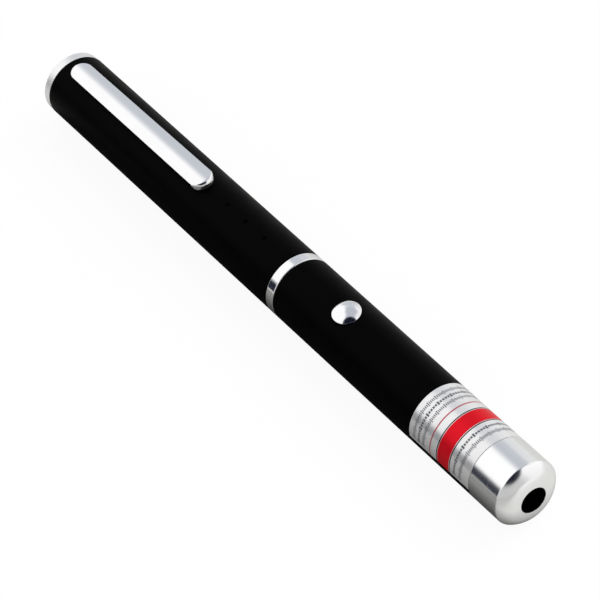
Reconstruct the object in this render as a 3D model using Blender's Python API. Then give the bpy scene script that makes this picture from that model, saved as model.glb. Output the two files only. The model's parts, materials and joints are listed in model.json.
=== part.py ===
"""A pen-shaped laser pointer, lying on its side with its nose towards +X and its button up.

All lengths are in metres. The pen rests on z = 0, and the origin is halfway along it. Places along
the pen are counted forward from its tail face, and shares are plain numbers.
"""

import math

import bmesh
import bpy
from mathutils import Matrix, Vector

TURN = 2 * math.pi

# Edges and clearances
EDGE_CHAMFER = 0.0002
SEAM = 0.0001
TOUCH = 0.0001
FIT = 0.00015
OVERRUN = 0.001
MERGE = 0.0000001

# Two cells, which set the length and the width of the pen
CELL_LENGTH = 0.0445
CELL_RADIUS = 0.00525
CELL_EDGE = 0.0005
CELL_NUB_RADIUS = 0.0019
CELL_NUB_LENGTH = 0.0010
CELL_PLAY = 0.00035
CELL_REACH = 0.0120

# Tail cap and its spring
CAP_PROUD = 0.0022
CAP_FLOOR = 0.0010
CAP_STEP = 0.0001
CAP_ROUNDING = 0.0009
CAP_SKIRT_LENGTH = 0.0027
CAP_SKIRT_WALL = 0.0006
CAP_BORE_DEPTH = 0.0070
SPRING_LENGTH = 0.0042
SPRING_WIRE = 0.0006
SPRING_SIDE_GAP = 0.00075
SPRING_TIP_RADIUS = 0.0026
SPRING_CURLS = 3
SPRING_STEPS_PER_CURL = 10

# Barrels, ring and the screw joint between them
BARREL_WALL = 0.0009
BARREL_SKIN = 0.00065
RING_LENGTH = 0.0023
COUPLING_PLAY = 0.00015
COUPLING_WALL = 0.00035
COUPLING_SPIGOT = 0.0077
THREAD_PITCH = 0.0010
THREAD_HEIGHT = 0.00025
THREAD_CREST_GAP = 0.0001
THREAD_LENGTH = 0.0046
THREAD_LEAD = 0.0002
THREAD_RELIEF = 0.0006
# A ridge's foot, the two edges of its crest and its other foot, as shares of the pitch and height
RIDGE_FORWARD_SHARES = (0.0, 0.22, 0.42, 0.64)
RIDGE_HEIGHT_SHARES = (0, 1, 1, 0)
MALE_TURN_SHARE = 0.5
DIMPLE_RADIUS = 0.0005
DIMPLE_DEPTH = 0.0004
DIMPLE_SPACING = 0.0063
DIMPLE_COUNT = 3
DIMPLE_TO_RING = 0.0079

# Pocket clip and the stud under it
CLIP_LENGTH = 0.0482
CLIP_INSET = 0.0027
CLIP_TAIL_HALF_WIDTH = 0.00233
CLIP_TIP_HALF_WIDTH = 0.00252
CLIP_THICKNESS = 0.0005
CLIP_CROWN = 0.0005
CLIP_EDGE = 0.00012
CLIP_STAND_OFF = 0.0010
CLIP_RISE = 0.0006
CLIP_BEND_RADIUS = 0.0013
CLIP_BEND_DEGREES = 75
CLIP_TIP_CORNER = 0.0007
CLIP_TIP_SWEEP = 0.0015
CLIP_SWEEP_LENGTH = 0.0035
CLIP_TIP_GAP = 0.00015
CLIP_SECTION_SHARES = (-1, -0.85, -0.66, -0.33, 0, 0.33, 0.66, 0.85, 1)
STUD_RADIUS = 0.0009
STUD_SHOULDER_RADIUS = 0.0012
STUD_HEAD_RADIUS = 0.0014
STUD_HEAD_THICKNESS = 0.0003
STUD_WALL_GAP = 0.00010

# Button, and the switch under it
BUTTON_RADIUS = 0.0029
BUTTON_HOLE_GAP = 0.00015
BUTTON_PROUD = 0.0009
BUTTON_DOME = 0.0008
BUTTON_FLANGE_WIDTH = 0.0004
BUTTON_FLANGE_THICKNESS = 0.0006
BUTTON_FLANGE_DROP = 0.0003
BUTTON_TRAVEL = 0.0004
SWITCH_SIDE = 0.0045
SWITCH_HEIGHT = 0.0031
SWITCH_FLOOR = 0.0003
SWITCH_INSET = 0.00105
SWITCH_EDGE = 0.0002
PLUNGER_RADIUS = 0.0013
DOME_PRESSED_HEIGHT = 0.00025
DOME_SHEET = 0.00015

# Contact, board and what is on it
CONTACT_FLANGE_RADIUS = 0.0020
CONTACT_FLANGE_THICKNESS = 0.0003
CONTACT_SHANK_RADIUS = 0.00075
CARRIER_THICKNESS = 0.0009
BOARD_SIDE_GAP = 0.00115
BOARD_THICKNESS = 0.0010
BOARD_DROP = 0.0003
CRADLE_WALL = 0.00135
CHIP_SIZE = (0.0048, 0.0038, 0.0015)
CHIP_FROM_SWITCH = 0.0008
TRIMMER_SIZE = (0.0034, 0.0034, 0.0018)
TRIMMER_DIAL_RADIUS = 0.0012
TRIMMER_SLOT_WIDTH = 0.0004
TRIMMER_SLOT_DEPTH = 0.0004
TRIMMER_SLOT_EDGE = 0.00005
TRIMMER_FROM_CHIP = 0.0006
RESISTOR_SIZE = (0.0012, 0.0024, 0.0006)
RESISTOR_FROM_TRIMMER = 0.0004
LEAD_FROM_RESISTOR = 0.00075
CAPACITOR_ROOM = 0.0004
CAPACITOR_LENGTH = 0.0050
CAPACITOR_EDGE = 0.0003
COMPONENT_EDGE = 0.00015

# Laser diode in its holder
HOLDER_LENGTH = 0.0085
HOLDER_THROAT_RADIUS = 0.0020
DIODE_FLANGE_RADIUS = 0.0028
DIODE_FLANGE_THICKNESS = 0.0012
DIODE_CAP_RADIUS = 0.0017
DIODE_CAP_LENGTH = 0.0023
DIODE_LEAD_RADIUS = 0.000225
DIODE_LEAD_CIRCLE = 0.00127
DIODE_LEAD_LAP = 0.0010
DIODE_SHORT_LEAD = 0.0015
DIODE_DEPTH = 0.0024
DIODE_RING_LENGTH = 0.0016
DIODE_RING_WALL = 0.0008

# Optics tube, from the crystal to the front lens
HOUSING_LENGTH = 0.0250
HOUSING_NECK_LENGTH = 0.0084
HOUSING_NECK_WALL = 0.00095
HOUSING_WALL = 0.0027
CRYSTAL_HOLDER_LENGTH = 0.0035
CRYSTAL_SIDE = 0.0015
CRYSTAL_LENGTH = 0.0026
CRYSTAL_EDGE = 0.00008
HOUSING_WEB = 0.0012
HOUSING_THROAT_RADIUS = 0.0012
EXPANDER_RADIUS = 0.0021
EXPANDER_EDGE = 0.0014
EXPANDER_HOLLOW = 0.0004
EXPANDER_SEAT_DEPTH = 0.0020
HOUSING_CONE_LENGTH = 0.0050
LENS_CELL_WALL = 0.0005
LENS_CELL_LENGTH = 0.0082
LENS_CELL_LIP = 0.0005
LENS_CELL_SET_BACK = 0.0003
LENS_EDGE = 0.0008
LENS_BULGE = 0.0007
LENS_RING_LENGTH = 0.0010
LENS_RING_WALL = 0.0006

# Nose
NOSE_REACH = 0.0038
NOSE_ROOM = 0.0018
NOSE_FRONT_WALL = 0.0047
NOSE_SPIGOT_LENGTH = 0.0042
NOSE_ROUNDING_LENGTH = 0.0027
NOSE_ROUNDING_HEIGHT = 0.0021
NOSE_FACE_CROWN = 0.0002
NOSE_SPIGOT_WALL = 0.0006
APERTURE_RADIUS = 0.0026
APERTURE_EDGE = 0.00015
APERTURE_LAND = 0.0014

# Label, let into the barrel so that it lies flush
LABEL_LENGTH = 0.0179
LABEL_THICKNESS = 0.0001
LABEL_INSET = 0.00002
LABEL_POCKET = 0.0002
LABEL_MARGIN = 0.00005
LABEL_FIRST_DEGREES = -90
LABEL_SPAN_DEGREES = 308
LABEL_EDGE_DEGREES = 0.5

# Counts of flat sides round each kind of piece, and of steps along its curves
BODY_SIDES = 40
INNER_SIDES = 32
SMALL_SIDES = 24
TINY_SIDES = 12
ROUNDING_STEPS = 6
DOME_STEPS = 3
LENS_STEPS = 4
SHARP_DEGREES = 35

# The board is as long as the row of what it carries
parts_length = CHIP_SIZE[0] + TRIMMER_SIZE[0] + RESISTOR_SIZE[0]
gaps_length = CHIP_FROM_SWITCH + TRIMMER_FROM_CHIP + RESISTOR_FROM_TRIMMER + LEAD_FROM_RESISTOR
board_length = SWITCH_INSET + SWITCH_SIDE + parts_length + gaps_length + DIODE_LEAD_LAP

# Places along the pen, worked out from the tail face forward
barrel_start = CAP_PROUD
spring_start = CAP_FLOOR + TOUCH
rear_cell_start = spring_start + SPRING_LENGTH + TOUCH
front_cell_start = rear_cell_start + CELL_LENGTH + TOUCH
cells_end = front_cell_start + CELL_LENGTH
front_start = cells_end - CELL_REACH
ring_start = front_start - SEAM - RING_LENGTH
rear_end = ring_start - SEAM
coupling_start = rear_end - THREAD_LEAD - THREAD_LENGTH
contact_start = cells_end + TOUCH
carrier_start = contact_start + CONTACT_FLANGE_THICKNESS + TOUCH
board_start = carrier_start + CARRIER_THICKNESS + TOUCH
button_place = board_start + SWITCH_INSET + SWITCH_SIDE / 2
board_end = board_start + board_length
holder_start = board_end + TOUCH
holder_end = holder_start + HOLDER_LENGTH
housing_start = holder_end + TOUCH
housing_end = housing_start + HOUSING_LENGTH
front_end = housing_end - NOSE_REACH
nose_start = front_end + SEAM
nose_length = NOSE_REACH + NOSE_ROOM + NOSE_FRONT_WALL
pen_length = nose_start + nose_length
label_start = front_end - LABEL_MARGIN - LABEL_LENGTH
clip_start = barrel_start + CLIP_INSET
stud_place = clip_start + CLIP_TAIL_HALF_WIDTH

# Radii and heights shared by pieces that meet, worked out from the cells outward and back in
cell_bore = CELL_RADIUS + CELL_PLAY
coupling_bore = CELL_RADIUS + COUPLING_PLAY
male_root = coupling_bore + COUPLING_WALL
female_root = male_root + THREAD_HEIGHT + THREAD_CREST_GAP + THREAD_HEIGHT
body_radius = female_root + BARREL_SKIN
barrel_bore = body_radius - BARREL_WALL
inner_radius = barrel_bore - FIT
cap_radius = body_radius - CAP_STEP
cap_bore = inner_radius - CAP_SKIRT_WALL
spring_base_radius = cap_bore - SPRING_SIDE_GAP - SPRING_WIRE / 2
nose_bore = inner_radius - NOSE_SPIGOT_WALL
housing_neck_radius = nose_bore - FIT
lens_cell_radius = housing_neck_radius - HOUSING_NECK_WALL - FIT
crystal_holder_radius = inner_radius - HOUSING_WALL - FIT
rear_barrel_length = rear_end - barrel_start
front_barrel_length = front_end - front_start
board_top = -BOARD_DROP
board_bottom = board_top - BOARD_THICKNESS
cradle_top = board_bottom - TOUCH
cradle_bore = inner_radius - CRADLE_WALL
board_width = 2 * (inner_radius - BOARD_SIDE_GAP)
capacitor_radius = (cradle_bore + cradle_top - CAPACITOR_ROOM) / 2
switch_bottom = board_top + TOUCH
switch_top = switch_bottom + SWITCH_HEIGHT
button_hole_radius = BUTTON_RADIUS + BUTTON_HOLE_GAP
flange_radius = BUTTON_RADIUS + BUTTON_FLANGE_WIDTH
flange_top = math.sqrt(barrel_bore**2 - flange_radius**2) - BUTTON_FLANGE_DROP
flange_bottom = flange_top - BUTTON_FLANGE_THICKNESS
clip_top = body_radius + CLIP_STAND_OFF
dome_height = DOME_PRESSED_HEIGHT + BUTTON_TRAVEL

materials = {}


def material(name, colour, metallic, roughness):
    """One Principled material for each finish."""
    if name not in materials:
        made = bpy.data.materials.new(name)
        made.use_nodes = True
        shader = made.node_tree.nodes["Principled BSDF"]
        shader.inputs["Base Color"].default_value = (*colour, 1)
        shader.inputs["Metallic"].default_value = metallic
        shader.inputs["Roughness"].default_value = roughness
        made.diffuse_color = (*colour, 1)
        materials[name] = made
    return materials[name]


def black_lacquer():
    return material("black_lacquer", (0.006, 0.006, 0.006), 0, 0.45)


def chrome():
    return material("chrome", (0.82, 0.83, 0.84), 1, 0.12)


def satin_chrome():
    return material("satin_chrome", (0.78, 0.79, 0.80), 1, 0.25)


def foil():
    return material("foil", (0.75, 0.76, 0.77), 1, 0.22)


def spring_steel():
    return material("spring_steel", (0.62, 0.62, 0.62), 1, 0.3)


def brass():
    return material("brass", (0.72, 0.52, 0.22), 1, 0.3)


def cell_jacket():
    return material("cell_jacket", (0.10, 0.22, 0.16), 0.3, 0.35)


def black_plastic():
    return material("black_plastic", (0.015, 0.015, 0.016), 0, 0.5)


def white_plastic():
    return material("white_plastic", (0.75, 0.74, 0.70), 0, 0.5)


def board_resin():
    return material("board_resin", (0.02, 0.16, 0.06), 0, 0.4)


def optical_glass():
    return material("optical_glass", (0.85, 0.90, 0.92), 0, 0.02)


def empty(name, place, height, parent=None):
    """A joint or a half of the pen, as a parent for its pieces."""
    made = bpy.data.objects.new(name, None)
    bpy.context.scene.collection.objects.link(made)
    made["place"] = place
    made["height"] = height
    put(made, place, height, parent)
    return made


def put(made, place, height, parent):
    """Sets an object at a place along the pen and a height over its axis."""
    if parent is None:
        made.location = (place - pen_length / 2, 0, height + body_radius)
    else:
        made.parent = parent
        made.location = (place - parent["place"], 0, height - parent["height"])


def finished(bm, name, finish, place, height=0, parent=None, flat=False):
    """Turns a bmesh into a named object with its material and shading."""
    bmesh.ops.remove_doubles(bm, verts=bm.verts, dist=MERGE)
    bmesh.ops.recalc_face_normals(bm, faces=bm.faces)
    mesh = bpy.data.meshes.new(name)
    bm.to_mesh(mesh)
    bm.free()
    if not flat:
        mesh.shade_smooth()
        mesh.set_sharp_from_angle(angle=math.radians(SHARP_DEGREES))
    made = bpy.data.objects.new(name, mesh)
    bpy.context.scene.collection.objects.link(made)
    made.data.materials.append(finish)
    put(made, place, height, parent)
    return made


def spun(outline, sides):
    """A bmesh of an outline of (forward, radius) pairs, spun about the pen's axis.

    A flat side lies underneath, and each radius is measured to the flats. An outline that starts
    and ends on the axis makes a solid, and any other is closed into a ring.
    """
    bm = bmesh.new()
    half = math.pi / sides
    spread = 1 / math.cos(half)
    points = []
    for forward, radius in outline:
        corner = radius * spread
        points.append(bm.verts.new((forward, corner * math.cos(half), corner * math.sin(half))))
    edges = [bm.edges.new(pair) for pair in zip(points, points[1:])]
    if outline[0][1] or outline[-1][1]:
        edges.append(bm.edges.new((points[-1], points[0])))
    bmesh.ops.spin(
        bm,
        geom=points + edges,
        cent=(0, 0, 0),
        axis=(1, 0, 0),
        angle=TURN,
        steps=sides,
        use_merge=True,
    )
    return bm


def turned(name, outline, finish, place, parent, sides=SMALL_SIDES, height=0):
    """A round piece about a line along the pen."""
    return finished(spun(outline, sides), name, finish, place, height, parent)


def upright(name, outline, finish, place, parent, height=0, sides=SMALL_SIDES):
    """A round piece about a vertical line, its outline counted upward."""
    bm = spun(outline, sides)
    bm.transform(Matrix.Rotation(-TURN / 4, 4, "Y"))
    return finished(bm, name, finish, place, height, parent)


def block(size, edge):
    """A bmesh of a box about its centre, with its edges chamfered."""
    bm = bmesh.new()
    bmesh.ops.create_cube(bm, size=1, matrix=Matrix.Diagonal((*size, 1)))
    bmesh.ops.bevel(bm, geom=bm.edges[:], offset=edge, segments=1, affect="EDGES")
    return bm


def cutter(made):
    made.hide_render = True
    made.display_type = "WIRE"
    return made


def cut(made, tool, operation="DIFFERENCE"):
    """Cuts a tool from a piece, or joins it on, with a modifier that stays live."""
    change = made.modifiers.new(tool.name, "BOOLEAN")
    change.operation = operation
    change.solver = "EXACT"
    change.object = cutter(tool)


def drill(made, name, place, radius, low, high, parent, sides=SMALL_SIDES):
    """A vertical round hole between two heights over the pen's axis."""
    outline = [(0, 0), (0, radius), (high - low, radius), (high - low, 0)]
    cut(made, upright(name, outline, black_plastic(), place, parent, low, sides))


def thread_rows(length, root, height, share):
    """The (forward, radius) points of a screw thread along one line of a round piece.

    The line lies at this share of a turn. Points past either end are laid on that end, and merge
    there.
    """
    rows = []
    for turn in range(math.ceil(length / THREAD_PITCH) + 2):
        for forward_share, height_share in zip(RIDGE_FORWARD_SHARES, RIDGE_HEIGHT_SHARES):
            forward = THREAD_PITCH * (turn - 1 + forward_share + share)
            forward = min(max(forward, 0), length)
            fade = min(forward, length - forward, THREAD_PITCH / 2) / (THREAD_PITCH / 2)
            rows.append((forward, root + height * height_share * fade))
    rows.append((length, root))
    return rows


def threaded(name, before, thread, after, finish, place, parent, sides):
    """A ring whose outline runs through before, a screw thread and after.

    thread is (start, length, root radius, ridge height, share of a turn that it starts round).
    """
    start, length, root, ridge, turn_share = thread
    bm = bmesh.new()
    spread = 1 / math.cos(math.pi / sides)
    columns = []
    for side in range(sides):
        angle = TURN * ((side + 0.5) / sides + turn_share)
        rows = thread_rows(length, root, ridge, side / sides)
        shifted = [(start + forward, radius) for forward, radius in rows]
        column = []
        for forward, radius in before + shifted + after:
            corner = radius * spread
            across = corner * math.cos(angle)
            column.append(bm.verts.new((forward, across, corner * math.sin(angle))))
        columns.append(column)
    first = len(before)
    last = first + len(rows) - 1

    def beside(side, row):
        """The point of the next line that meets this one: a full turn moves up one ridge."""
        if side == sides - 1 and first <= row <= last:
            return columns[0][min(row + len(RIDGE_FORWARD_SHARES), last)]
        return columns[(side + 1) % sides][row]

    count = len(columns[0])
    for side in range(sides):
        for row in range(count):
            after_row = (row + 1) % count
            corners = [
                columns[side][row],
                columns[side][after_row],
                beside(side, after_row),
                beside(side, row),
            ]
            face = list(dict.fromkeys(corners))
            if len(face) > 2 and bm.faces.get(face) is None:
                bm.faces.new(face)
    return finished(bm, name, finish, place, 0, parent)


def arc_sleeve(inner, outer, length, first, span, sides):
    """A bmesh of part of a round sleeve. Angles are in degrees from straight up towards +Y."""
    bm = bmesh.new()
    sections = []
    for side in range(sides + 1):
        angle = math.radians(first + span * side / sides)
        across = Vector((0, math.sin(angle), math.cos(angle)))
        ends = Vector((length, 0, 0))
        corners = [across * inner, across * outer, across * outer + ends, across * inner + ends]
        sections.append([bm.verts.new(corner) for corner in corners])
    for one, other in zip(sections, sections[1:]):
        for corner in range(4):
            after = (corner + 1) % 4
            bm.faces.new((one[corner], one[after], other[after], other[corner]))
    bm.faces.new(sections[0])
    bm.faces.new(sections[-1])
    return bm


def make_rear_barrel(parent):
    length = rear_barrel_length
    zone = THREAD_LEAD + THREAD_LENGTH + THREAD_RELIEF
    before = [
        (0, barrel_bore),
        (CAP_BORE_DEPTH, barrel_bore),
        (CAP_BORE_DEPTH, cell_bore),
        (length - zone, cell_bore),
        (length - zone, female_root),
    ]
    after = [
        (length, female_root),
        (length, body_radius - EDGE_CHAMFER),
        (length - EDGE_CHAMFER, body_radius),
        (EDGE_CHAMFER, body_radius),
        (0, body_radius - EDGE_CHAMFER),
    ]
    thread_start = length - THREAD_LEAD - THREAD_LENGTH
    thread = (thread_start, THREAD_LENGTH, female_root, -THREAD_HEIGHT, 0)
    barrel = threaded(
        "rear_barrel", before, thread, after, black_lacquer(), barrel_start, parent, BODY_SIDES
    )
    for index in range(DIMPLE_COUNT):
        place = rear_end - DIMPLE_TO_RING - index * DIMPLE_SPACING
        bottom = body_radius - DIMPLE_DEPTH
        top = body_radius + OVERRUN
        name = f"cut_dimple_{index + 1}"
        drill(barrel, name, place, DIMPLE_RADIUS, bottom, top, parent, TINY_SIDES)
    hole = STUD_RADIUS + STUD_WALL_GAP
    top = body_radius + OVERRUN
    drill(barrel, "cut_stud_hole", stud_place, hole, CELL_RADIUS, top, parent, TINY_SIDES)


def make_tail_cap(parent):
    skirt_end = CAP_PROUD + CAP_SKIRT_LENGTH
    outline = [(0, 0)]
    for step in range(ROUNDING_STEPS + 1):
        angle = TURN / 4 * step / ROUNDING_STEPS
        forward = CAP_ROUNDING * (1 - math.cos(angle))
        outline.append((forward, cap_radius - CAP_ROUNDING * (1 - math.sin(angle))))
    outline += [
        (CAP_PROUD - SEAM, cap_radius),
        (CAP_PROUD - SEAM, inner_radius),
        (skirt_end, inner_radius),
        (skirt_end, cap_bore),
        (CAP_FLOOR, cap_bore),
        (CAP_FLOOR, 0),
    ]
    turned("tail_cap", outline, chrome(), 0, parent, BODY_SIDES)


def spring_points():
    """The line of the conical tail spring, with a short straight end at each side."""
    count = SPRING_CURLS * SPRING_STEPS_PER_CURL
    helix_length = SPRING_LENGTH - 2 * SPRING_WIRE
    points = []
    for step in range(count + 1):
        share = step / count
        radius = spring_base_radius + (SPRING_TIP_RADIUS - spring_base_radius) * share
        angle = TURN * SPRING_CURLS * share
        forward = SPRING_WIRE + helix_length * share
        points.append(Vector((forward, radius * math.cos(angle), radius * math.sin(angle))))
    points.insert(0, Vector((0, points[0].y, points[0].z)))
    points.append(Vector((SPRING_LENGTH, points[-1].y, points[-1].z)))
    gaps = [
        (one - other).length - SPRING_WIRE
        for index, one in enumerate(points)
        for other in points[index + SPRING_STEPS_PER_CURL // 2 :]
    ]
    print(f"tail_spring: least gap to itself {min(gaps) * 1000:.2f} mm")
    return points


def make_tail_spring(parent):
    points = spring_points()
    curve = bpy.data.curves.new("tail_spring", "CURVE")
    curve.dimensions = "3D"
    curve.bevel_depth = SPRING_WIRE / 2
    curve.bevel_resolution = 1
    curve.use_fill_caps = True
    spline = curve.splines.new("POLY")
    spline.points.add(len(points) - 1)
    for point, place in zip(spline.points, points):
        point.co = (*place, 1)
    curve.materials.append(spring_steel())
    made = bpy.data.objects.new("tail_spring", curve)
    bpy.context.scene.collection.objects.link(made)
    put(made, spring_start, 0, parent)


def make_cell(name, place, parent):
    shoulder = CELL_LENGTH - CELL_NUB_LENGTH
    outline = [
        (0, 0),
        (0, CELL_RADIUS - CELL_EDGE),
        (CELL_EDGE, CELL_RADIUS),
        (shoulder - CELL_EDGE, CELL_RADIUS),
        (shoulder, CELL_RADIUS - CELL_EDGE),
        (shoulder, CELL_NUB_RADIUS),
        (CELL_LENGTH, CELL_NUB_RADIUS),
        (CELL_LENGTH, 0),
    ]
    turned(name, outline, cell_jacket(), place, parent, INNER_SIDES)


def make_coupling(parent):
    spigot_end = front_start + COUPLING_SPIGOT - coupling_start
    step = THREAD_LEAD + THREAD_LENGTH
    before = [(0, coupling_bore), (0, male_root)]
    after = [
        (step, male_root),
        (step, inner_radius),
        (spigot_end - EDGE_CHAMFER, inner_radius),
        (spigot_end, inner_radius - EDGE_CHAMFER),
        (spigot_end, coupling_bore),
    ]
    length = THREAD_LENGTH - THREAD_LEAD
    thread = (THREAD_LEAD, length, male_root, THREAD_HEIGHT, MALE_TURN_SHARE)
    threaded(
        "thread_coupling", before, thread, after, brass(), coupling_start, parent, INNER_SIDES
    )


def make_mid_ring(parent):
    outline = [
        (0, barrel_bore),
        (0, body_radius - EDGE_CHAMFER),
        (EDGE_CHAMFER, body_radius),
        (RING_LENGTH - EDGE_CHAMFER, body_radius),
        (RING_LENGTH, body_radius - EDGE_CHAMFER),
        (RING_LENGTH, barrel_bore),
    ]
    turned("mid_ring", outline, chrome(), ring_start, parent, BODY_SIDES)


def make_front_barrel(parent):
    length = front_barrel_length
    outline = [
        (0, barrel_bore),
        (0, body_radius - EDGE_CHAMFER),
        (EDGE_CHAMFER, body_radius),
        (length, body_radius),
        (length, barrel_bore),
    ]
    barrel = turned("front_barrel", outline, black_lacquer(), front_start, parent, BODY_SIDES)
    top = body_radius + OVERRUN
    drill(barrel, "cut_button_hole", button_place, button_hole_radius, 0, top, parent)
    pocket = arc_sleeve(
        body_radius - LABEL_POCKET,
        body_radius + OVERRUN,
        LABEL_LENGTH + LABEL_MARGIN + OVERRUN,
        LABEL_FIRST_DEGREES - LABEL_EDGE_DEGREES,
        LABEL_SPAN_DEGREES + 2 * LABEL_EDGE_DEGREES,
        BODY_SIDES,
    )
    tool_start = label_start - LABEL_MARGIN
    cut(barrel, finished(pocket, "cut_label_pocket", foil(), tool_start, 0, parent))


def make_foil_label(parent):
    outer = body_radius - LABEL_INSET
    sleeve = arc_sleeve(
        outer - LABEL_THICKNESS,
        outer,
        LABEL_LENGTH,
        LABEL_FIRST_DEGREES,
        LABEL_SPAN_DEGREES,
        BODY_SIDES,
    )
    finished(sleeve, "foil_label", foil(), label_start, 0, parent)


def make_nose_cap(parent):
    inner_end = NOSE_REACH + NOSE_ROOM
    round_start = nose_length - NOSE_FACE_CROWN - NOSE_ROUNDING_LENGTH
    face_radius = body_radius - NOSE_ROUNDING_HEIGHT
    outline = [
        (-NOSE_SPIGOT_LENGTH, nose_bore),
        (-NOSE_SPIGOT_LENGTH, inner_radius),
        (0, inner_radius),
        (0, body_radius - EDGE_CHAMFER),
        (EDGE_CHAMFER, body_radius),
    ]
    for step in range(ROUNDING_STEPS + 1):
        angle = TURN / 4 * step / ROUNDING_STEPS
        forward = round_start + NOSE_ROUNDING_LENGTH * math.sin(angle)
        outline.append((forward, face_radius + NOSE_ROUNDING_HEIGHT * math.cos(angle)))
    outline += [
        (nose_length, APERTURE_RADIUS + APERTURE_EDGE),
        (nose_length - APERTURE_EDGE, APERTURE_RADIUS),
        (nose_length - APERTURE_LAND, APERTURE_RADIUS),
        (inner_end, lens_cell_radius - LENS_CELL_WALL),
        (inner_end, nose_bore),
    ]
    turned("nose_cap", outline, satin_chrome(), nose_start, parent, BODY_SIDES)


def clip_half_width(along, total):
    """Half the strip's width at this distance along it: round at the tail, cornered at the tip."""
    share = along / total
    width = CLIP_TAIL_HALF_WIDTH + (CLIP_TIP_HALF_WIDTH - CLIP_TAIL_HALF_WIDTH) * share
    if along < CLIP_TAIL_HALF_WIDTH:
        left = 1 - along / CLIP_TAIL_HALF_WIDTH
        return width * math.sqrt(1 - left * left)
    ahead = total - along
    if ahead < CLIP_TIP_CORNER:
        left = 1 - ahead / CLIP_TIP_CORNER
        return width - CLIP_TIP_CORNER * (1 - math.sqrt(max(1 - left * left, 0)))
    return width


def clip_section(half_width):
    """(across, down) points round the strip: a crowned top, two edges and a hollow underside."""
    edge = min(CLIP_EDGE, half_width / 2)
    top = []
    for share in CLIP_SECTION_SHARES:
        across = (half_width - edge) * share
        drop = CLIP_CROWN * (across / CLIP_TIP_HALF_WIDTH) ** 2
        top.append((across, drop))
    side_drop = CLIP_CROWN * (half_width / CLIP_TIP_HALF_WIDTH) ** 2
    right = [
        (half_width, side_drop + CLIP_EDGE),
        (half_width, side_drop + CLIP_THICKNESS - CLIP_EDGE),
    ]
    underside = [(across, drop + CLIP_THICKNESS) for across, drop in reversed(top)]
    left = [(-across, drop) for across, drop in reversed(right)]
    return top + right + underside + left


def tip_sweep(across, share):
    """How far back the round tip lies here. The share grows from none to all over the last part."""
    roundness = 0.85 * across / CLIP_TIP_HALF_WIDTH
    depth = (1 - math.sqrt(1 - roundness * roundness)) / (1 - math.sqrt(1 - 0.85**2))
    return CLIP_TIP_SWEEP * depth * share


def make_pocket_clip(pivot):
    bend = math.radians(CLIP_BEND_DEGREES)
    slope = math.asin(CLIP_RISE / CLIP_LENGTH)
    turn = bend + slope
    bend_forward = CLIP_BEND_RADIUS * (math.sin(slope) + math.sin(bend))
    bend_drop = CLIP_BEND_RADIUS * (math.cos(slope) - math.cos(bend))
    tip_depth = CLIP_RISE + CLIP_STAND_OFF - CLIP_TIP_GAP - bend_drop
    lip = (tip_depth - CLIP_THICKNESS * math.cos(bend)) / math.sin(bend)
    straight = (CLIP_LENGTH - bend_forward - lip * math.cos(bend)) / math.cos(slope)
    total = straight + CLIP_BEND_RADIUS * turn + lip

    def on_path(along):
        """(forward, up, angle below level) of the strip's top line."""
        run = min(along, straight)
        forward = run * math.cos(slope)
        up = run * math.sin(slope)
        angle = -slope
        if along > straight:
            angle += min((along - straight) / CLIP_BEND_RADIUS, turn)
            forward += CLIP_BEND_RADIUS * (math.sin(angle) + math.sin(slope))
            up -= CLIP_BEND_RADIUS * (math.cos(slope) - math.cos(angle))
        over = max(along - straight - CLIP_BEND_RADIUS * turn, 0)
        return forward + over * math.cos(angle), up - over * math.sin(angle), angle

    tail = [
        CLIP_TAIL_HALF_WIDTH * (1 - math.cos(TURN / 4 * step / ROUNDING_STEPS))
        for step in range(ROUNDING_STEPS + 1)
    ]
    sweep_start = straight - CLIP_SWEEP_LENGTH
    sweep = [sweep_start + CLIP_SWEEP_LENGTH * step / 5 for step in range(5)]
    curl_steps = 2 * ROUNDING_STEPS
    curl = [
        straight + (total - straight) * step / curl_steps for step in range(curl_steps + 1)
    ]
    bm = bmesh.new()
    rings = []
    for along in tail + sweep + curl:
        forward, up, angle = on_path(along)
        swept = min(max((along - sweep_start) / CLIP_SWEEP_LENGTH, 0), 1)
        ring = []
        for across, down in clip_section(clip_half_width(along, total)):
            x = forward - down * math.sin(angle) - tip_sweep(across, swept)
            z = up - down * math.cos(angle)
            ring.append(bm.verts.new((x + clip_start - stud_place, across, z + CLIP_THICKNESS)))
        rings.append(ring)
    count = len(rings[0])
    for one, other in zip(rings, rings[1:]):
        for index in range(count):
            after = (index + 1) % count
            bm.faces.new((one[index], one[after], other[after], other[index]))
    bm.faces.new(rings[0])
    bm.faces.new(rings[-1])
    place = pivot["place"]
    height = pivot["height"]
    finished(bm, "pocket_clip", chrome(), place, height, pivot)


def make_clip_stud(parent):
    inner_wall = math.sqrt(barrel_bore**2 - STUD_HEAD_RADIUS**2)
    head_top = inner_wall - STUD_WALL_GAP
    head_bottom = head_top - STUD_HEAD_THICKNESS
    seat = body_radius + STUD_WALL_GAP
    top = clip_top - CLIP_THICKNESS - FIT
    outline = [
        (0, 0),
        (0, STUD_HEAD_RADIUS),
        (head_top - head_bottom, STUD_HEAD_RADIUS),
        (head_top - head_bottom, STUD_RADIUS),
        (seat - head_bottom, STUD_RADIUS),
        (seat - head_bottom, STUD_SHOULDER_RADIUS),
        (top - head_bottom, STUD_SHOULDER_RADIUS),
        (top - head_bottom, 0),
    ]
    upright(
        "clip_stud", outline, spring_steel(), stud_place, parent, head_bottom, sides=TINY_SIDES
    )


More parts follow.
